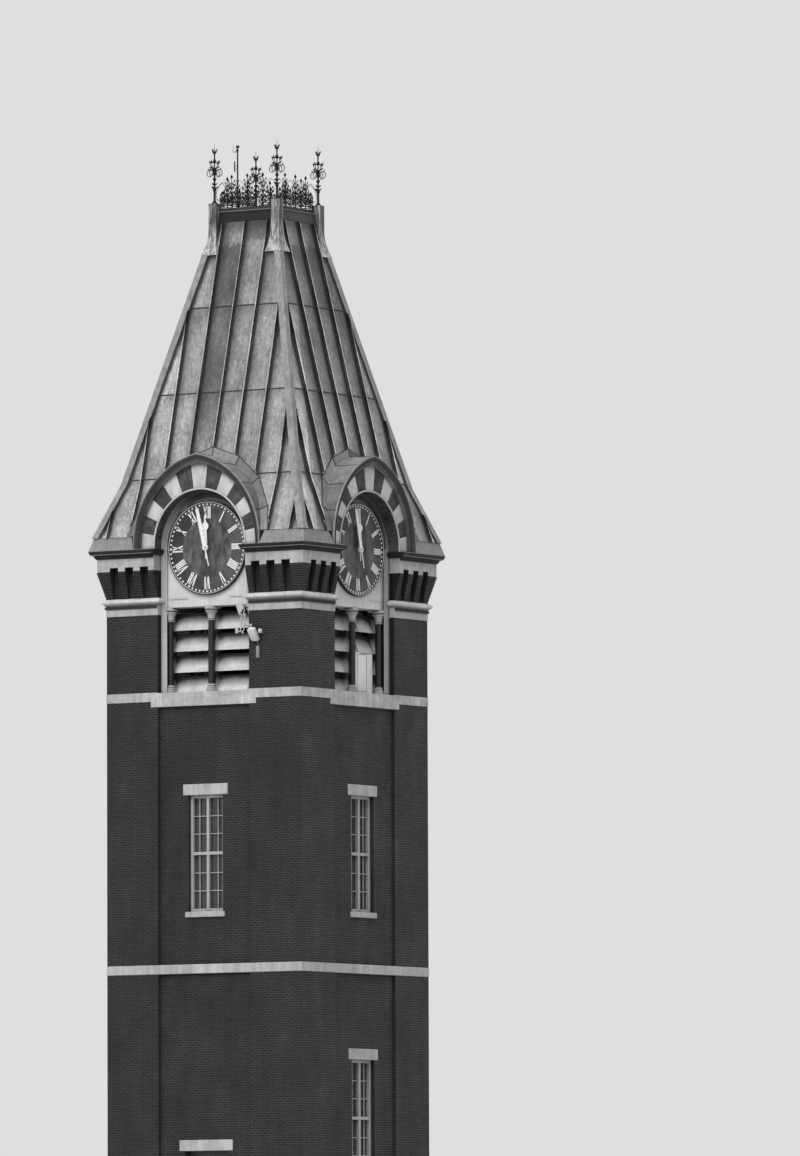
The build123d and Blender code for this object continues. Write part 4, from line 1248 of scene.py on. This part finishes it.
def colonettes():
    """Dark turned shafts between light bases and capitals."""
    shafts = bmesh.new()
    stones = bmesh.new()
    length = COLUMN_HEAD - COLUMN_FOOT
    shaft = [(0.0, 0.0), (0.098, 0.0), (0.1, 0.9), (0.094, length), (0.0, length)]
    for x in (-1.433, 0, 1.433):
        spun(shafts, shaft, (x, -COLUMN_LINE, COLUMN_FOOT), 24)
        spun(stones, COLUMN_BASE, (x, -COLUMN_LINE, SILL), 28)
        spun(stones, COLUMN_CAPITAL, (x, -COLUMN_LINE, COLUMN_HEAD), 28)
    fourfold(shafts, "turned_shafts", shaft_paint, "dark_shaft", ("colonette_shafts",), smooth=30, weld=True)
    fourfold(stones, "turned_capitals", turned_stone, "turned_stone", ("colonette_stones",), smooth=30,
             weld=True)


hatch_grooves()
numerals()
dial_rims()
panel_mouldings()
for side in SIDES:
    hand(side, "minute", MINUTE_FACE, MINUTES_PAST_ELEVEN * 6)
    hand(side, "hour", HOUR_FACE, (11 + MINUTES_PAST_ELEVEN / 60) * 30)
colonettes()


# Openings of the shaft

dressed("window_frames", frame_paint, "frame_paint", 0.006)
finished("window_glass", glass)
dressed("door", door_paint, "door_paint")


def glazing_bars():
    """Thin bars that split each sash light, and the lift on the lower one; the door has the front."""
    bm = bmesh.new()
    edge, light, meeting_rail = 0.09, 1.565, 0.09
    for sill, angles in ((2.3, QUARTERS), (10.0, (0,) + QUARTERS)):
        for angle in angles:
            made = []
            for foot in (sill + edge, sill + edge + light + meeting_rail):
                for x in (-0.32, 0.32):
                    for z in (foot + light / 3, foot + light * 2 / 3):
                        made += box(bm, x - 0.26, x + 0.26, -SASH_FACE - 0.04, -SASH_FACE,
                                    z - 0.012, z + 0.012)
                    made += box(bm, x - 0.012, x + 0.012, -SASH_FACE - 0.037, -SASH_FACE - 0.003,
                                foot, foot + light)
            made += box(bm, -0.06, 0.06, -3.2, -3.18, sill + 0.05, sill + 0.07)
            turned(bm, made, angle)
    piece(bm, "glazing_bars", frame_paint, "frame_paint", bevel=0.003)


def door_furniture():
    """Knobs, key plates and strap hinges of the door."""
    bm = bmesh.new()
    face, knob = -DOOR_FACE, 1.26
    for side in (-1, 1):
        x, hinge = side * 0.075, side * 0.745
        box(bm, x - 0.022, x + 0.022, face - 0.006, face + 0.002, knob - 0.14, knob + 0.08)
        bar(bm, [(x, face, knob), (x, face - 0.045, knob)], 0.012, 10)
        bar(bm, [(x, face - out, knob) for out in (0.04, 0.058, 0.075)], 0.028, 14, 0.75)
        for z in (0.45, 1.6, 2.75):
            box(bm, hinge - 0.006, hinge + 0.006, face - 0.012, face + 0.002, z - 0.07, z + 0.07)
    piece(bm, "door_furniture", iron, "iron", bevel=0.002, smooth=30)


def wall_fixture():
    """Tilted housing with its ear and conduit, and the jointed bracket beside it, on the near pier."""
    bm = bmesh.new()
    housing = box(bm, 1.79, 2.01, -3.66, -3.55, 17.79, 18.2)
    housing += box(bm, 1.78, 2.02, -3.675, -3.66, 17.84, 18.21)
    housing += box(bm, 1.84, 1.96, -3.55, -3.52, 17.9, 18.0)
    turned(bm, housing, 37, "X", (1.9, -3.6, 17.99))
    box(bm, 2.005, 2.075, -3.52, -HALF, 18.03, 18.15)
    box(bm, 1.85, 1.95, -3.42, -HALF, 17.84, 17.96)
    bar(bm, [(1.9, -3.41, 17.9), (1.9, -3.48, 17.88), (1.9, -3.53, 17.92)], 0.022, 10)
    piece(bm, "camera_housing", fixture, "fixture", ("wall_camera",), bevel=0.008, segments=2, smooth=40)
    conduit = bmesh.new()
    box(conduit, 1.875, 1.98, -3.45, -HALF, 17.32, 17.66)
    bar(conduit, [(1.93, -3.42, 17.66), (1.93, -3.42, 17.74), (1.92, -3.43, 17.84)], 0.012, 8)
    piece(conduit, "camera_conduit", conduit_paint, "fixture", bevel=0.006, segments=2, smooth=40)
    arm = bmesh.new()
    slab(arm, [(1.36, 18.91), (1.57, 18.91), (1.64, 18.75), (1.49, 18.55)], -3.755, -3.735)
    for points, thick, sides in (
            (((1.56, -3.735, 18.8), (1.6, -3.68, 18.82), (1.62, -3.66, 18.7), (1.6, -3.69, 18.58)), 0.018, 8),
            (((1.62, -3.66, 18.6), (1.62, -3.66, 18.4), (1.62, -3.66, 18.2)), 0.024, 10),
            (((1.6, -3.69, 18.58), (1.54, -3.72, 18.48), (1.55, -3.72, 18.2)), 0.015, 8),
            (((1.55, -3.72, 18.2), (1.5, -3.72, 18.07), (1.42, -3.73, 18.09)), 0.02, 8),
            (((1.62, -3.66, 18.2), (1.6, -3.68, 18.1), (1.5, -3.72, 18.07)), 0.015, 8),
            (((1.62, -3.66, 18.25), (1.65, -3.55, 18.25), (1.66, -3.41, 18.25)), 0.018, 8)):
        bar(arm, points, thick, sides)
    box(arm, 1.37, 1.45, -3.77, -3.7, 18.03, 18.2)
    box(arm, 1.61, 1.71, -3.42, -HALF, 18.19, 18.31)
    for joint in ((1.6, -3.68, 18.82), (1.54, -3.72, 18.57), (1.63, -3.66, 18.57), (1.54, -3.72, 18.44),
                  (1.58, -3.7, 18.04)):
        bmesh.ops.create_icosphere(arm, subdivisions=2, radius=0.032, matrix=Matrix.Translation(joint))
    piece(arm, "jointed_bracket", bracket_paint, "fixture", ("wall_bracket",), bevel=0.003, smooth=40)


glazing_bars()
door_furniture()
wall_fixture()


# Stage, light and camera


def floor():
    """Plain pale disc under the tower."""
    bm = bmesh.new()
    bmesh.ops.create_circle(bm, cap_ends=True, segments=96, radius=55)
    mesh = bpy.data.meshes.new("floor")
    bm.to_mesh(mesh)
    bm.free()
    made = bpy.data.objects.new("floor", mesh)
    scene.collection.objects.link(made)
    ground = Finish("floor_grey", 0.9)
    mesh.materials.append(ground.done(ground.tones(0.4, 186, 196)))


def sky():
    """Overcast dome for the light, and a plain pale sky for the eye, for gloss and through glass."""
    world = bpy.data.worlds.new("sky")
    scene.world = world
    world.use_nodes = True
    tree = world.node_tree
    tree.nodes.clear()
    place = add_node(tree, "ShaderNodeTexCoord").outputs["Generated"]
    height = add_node(tree, "ShaderNodeSeparateXYZ", {0: place}).outputs[2]
    inputs = {"Value": height, "From Min": -0.1, "From Max": 1.0, "To Min": 0.42, "To Max": 1.0}
    dome = add_node(tree, "ShaderNodeMapRange", inputs).outputs["Result"]
    lamp = add_node(tree, "ShaderNodeBackground", {"Color": dome, "Strength": 0.95}).outputs[0]
    seen = add_node(tree, "ShaderNodeBackground", {"Color": grey(223)}).outputs[0]
    rays = add_node(tree, "ShaderNodeLightPath").outputs
    share = rays["Is Camera Ray"]
    for kind in ("Is Transmission Ray", "Is Glossy Ray"):
        share = add_node(tree, "ShaderNodeMath", {0: share, 1: rays[kind]}, operation="MAXIMUM").outputs[0]
    swap = add_node(tree, "ShaderNodeMixShader", {0: share, 1: lamp, 2: seen})
    add_node(tree, "ShaderNodeOutputWorld", {0: swap.outputs[0]})


def sun(strength, angle, towards):
    """Wide soft light from one direction."""
    lamp = bpy.data.lights.new("soft_light", "SUN")
    lamp.energy = strength
    lamp.angle = radians(angle)
    made = bpy.data.objects.new("soft_light", lamp)
    made.rotation_mode = "QUATERNION"
    made.rotation_quaternion = Vector(towards).to_track_quat("-Z", "Y")
    scene.collection.objects.link(made)


def camera():
    """The photograph's viewpoint: far off to the front right, a little below the tower's ground."""
    azimuth, pitch, roll = 0.5846, 0.075, -0.0026
    focal, frame_height, sensor = 10467.16, 1156, 36
    distance = 90.312 * HALF
    height = STRING - 6.1965 * HALF
    right = Vector((cos(azimuth), sin(azimuth), 0))
    ahead = Vector((-sin(azimuth), cos(azimuth), 0))
    forward = ahead * cos(pitch) + up(sin(pitch))
    above = up(cos(pitch)) - ahead * sin(pitch)

    # The middle of the frame, across and down from the point that the camera was worked out for
    across, down = 400 - 267.385, 578 - 551.299
    level = across * cos(roll) + down * sin(roll)
    plumb = -across * sin(roll) + down * cos(roll)
    back = -(forward * focal + right * level - above * plumb).normalized()
    side = (above * cos(roll) - right * sin(roll)).cross(back).normalized()
    data = bpy.data.cameras.new("camera")
    data.sensor_width = sensor
    data.lens = focal / frame_height * sensor
    data.clip_start, data.clip_end = 1, 2000
    made = bpy.data.objects.new("camera", data)
    turn = Matrix((side, back.cross(side), back)).transposed().to_4x4()
    made.matrix_world = Matrix.Translation((distance * sin(azimuth), -distance * cos(azimuth), height)) @ turn
    scene.collection.objects.link(made)
    scene.camera = made


floor()
sky()
sun(strength=1.7, angle=40, towards=(-0.08, 0.72, -0.62))
camera()
scene.view_settings.view_transform = "Standard"
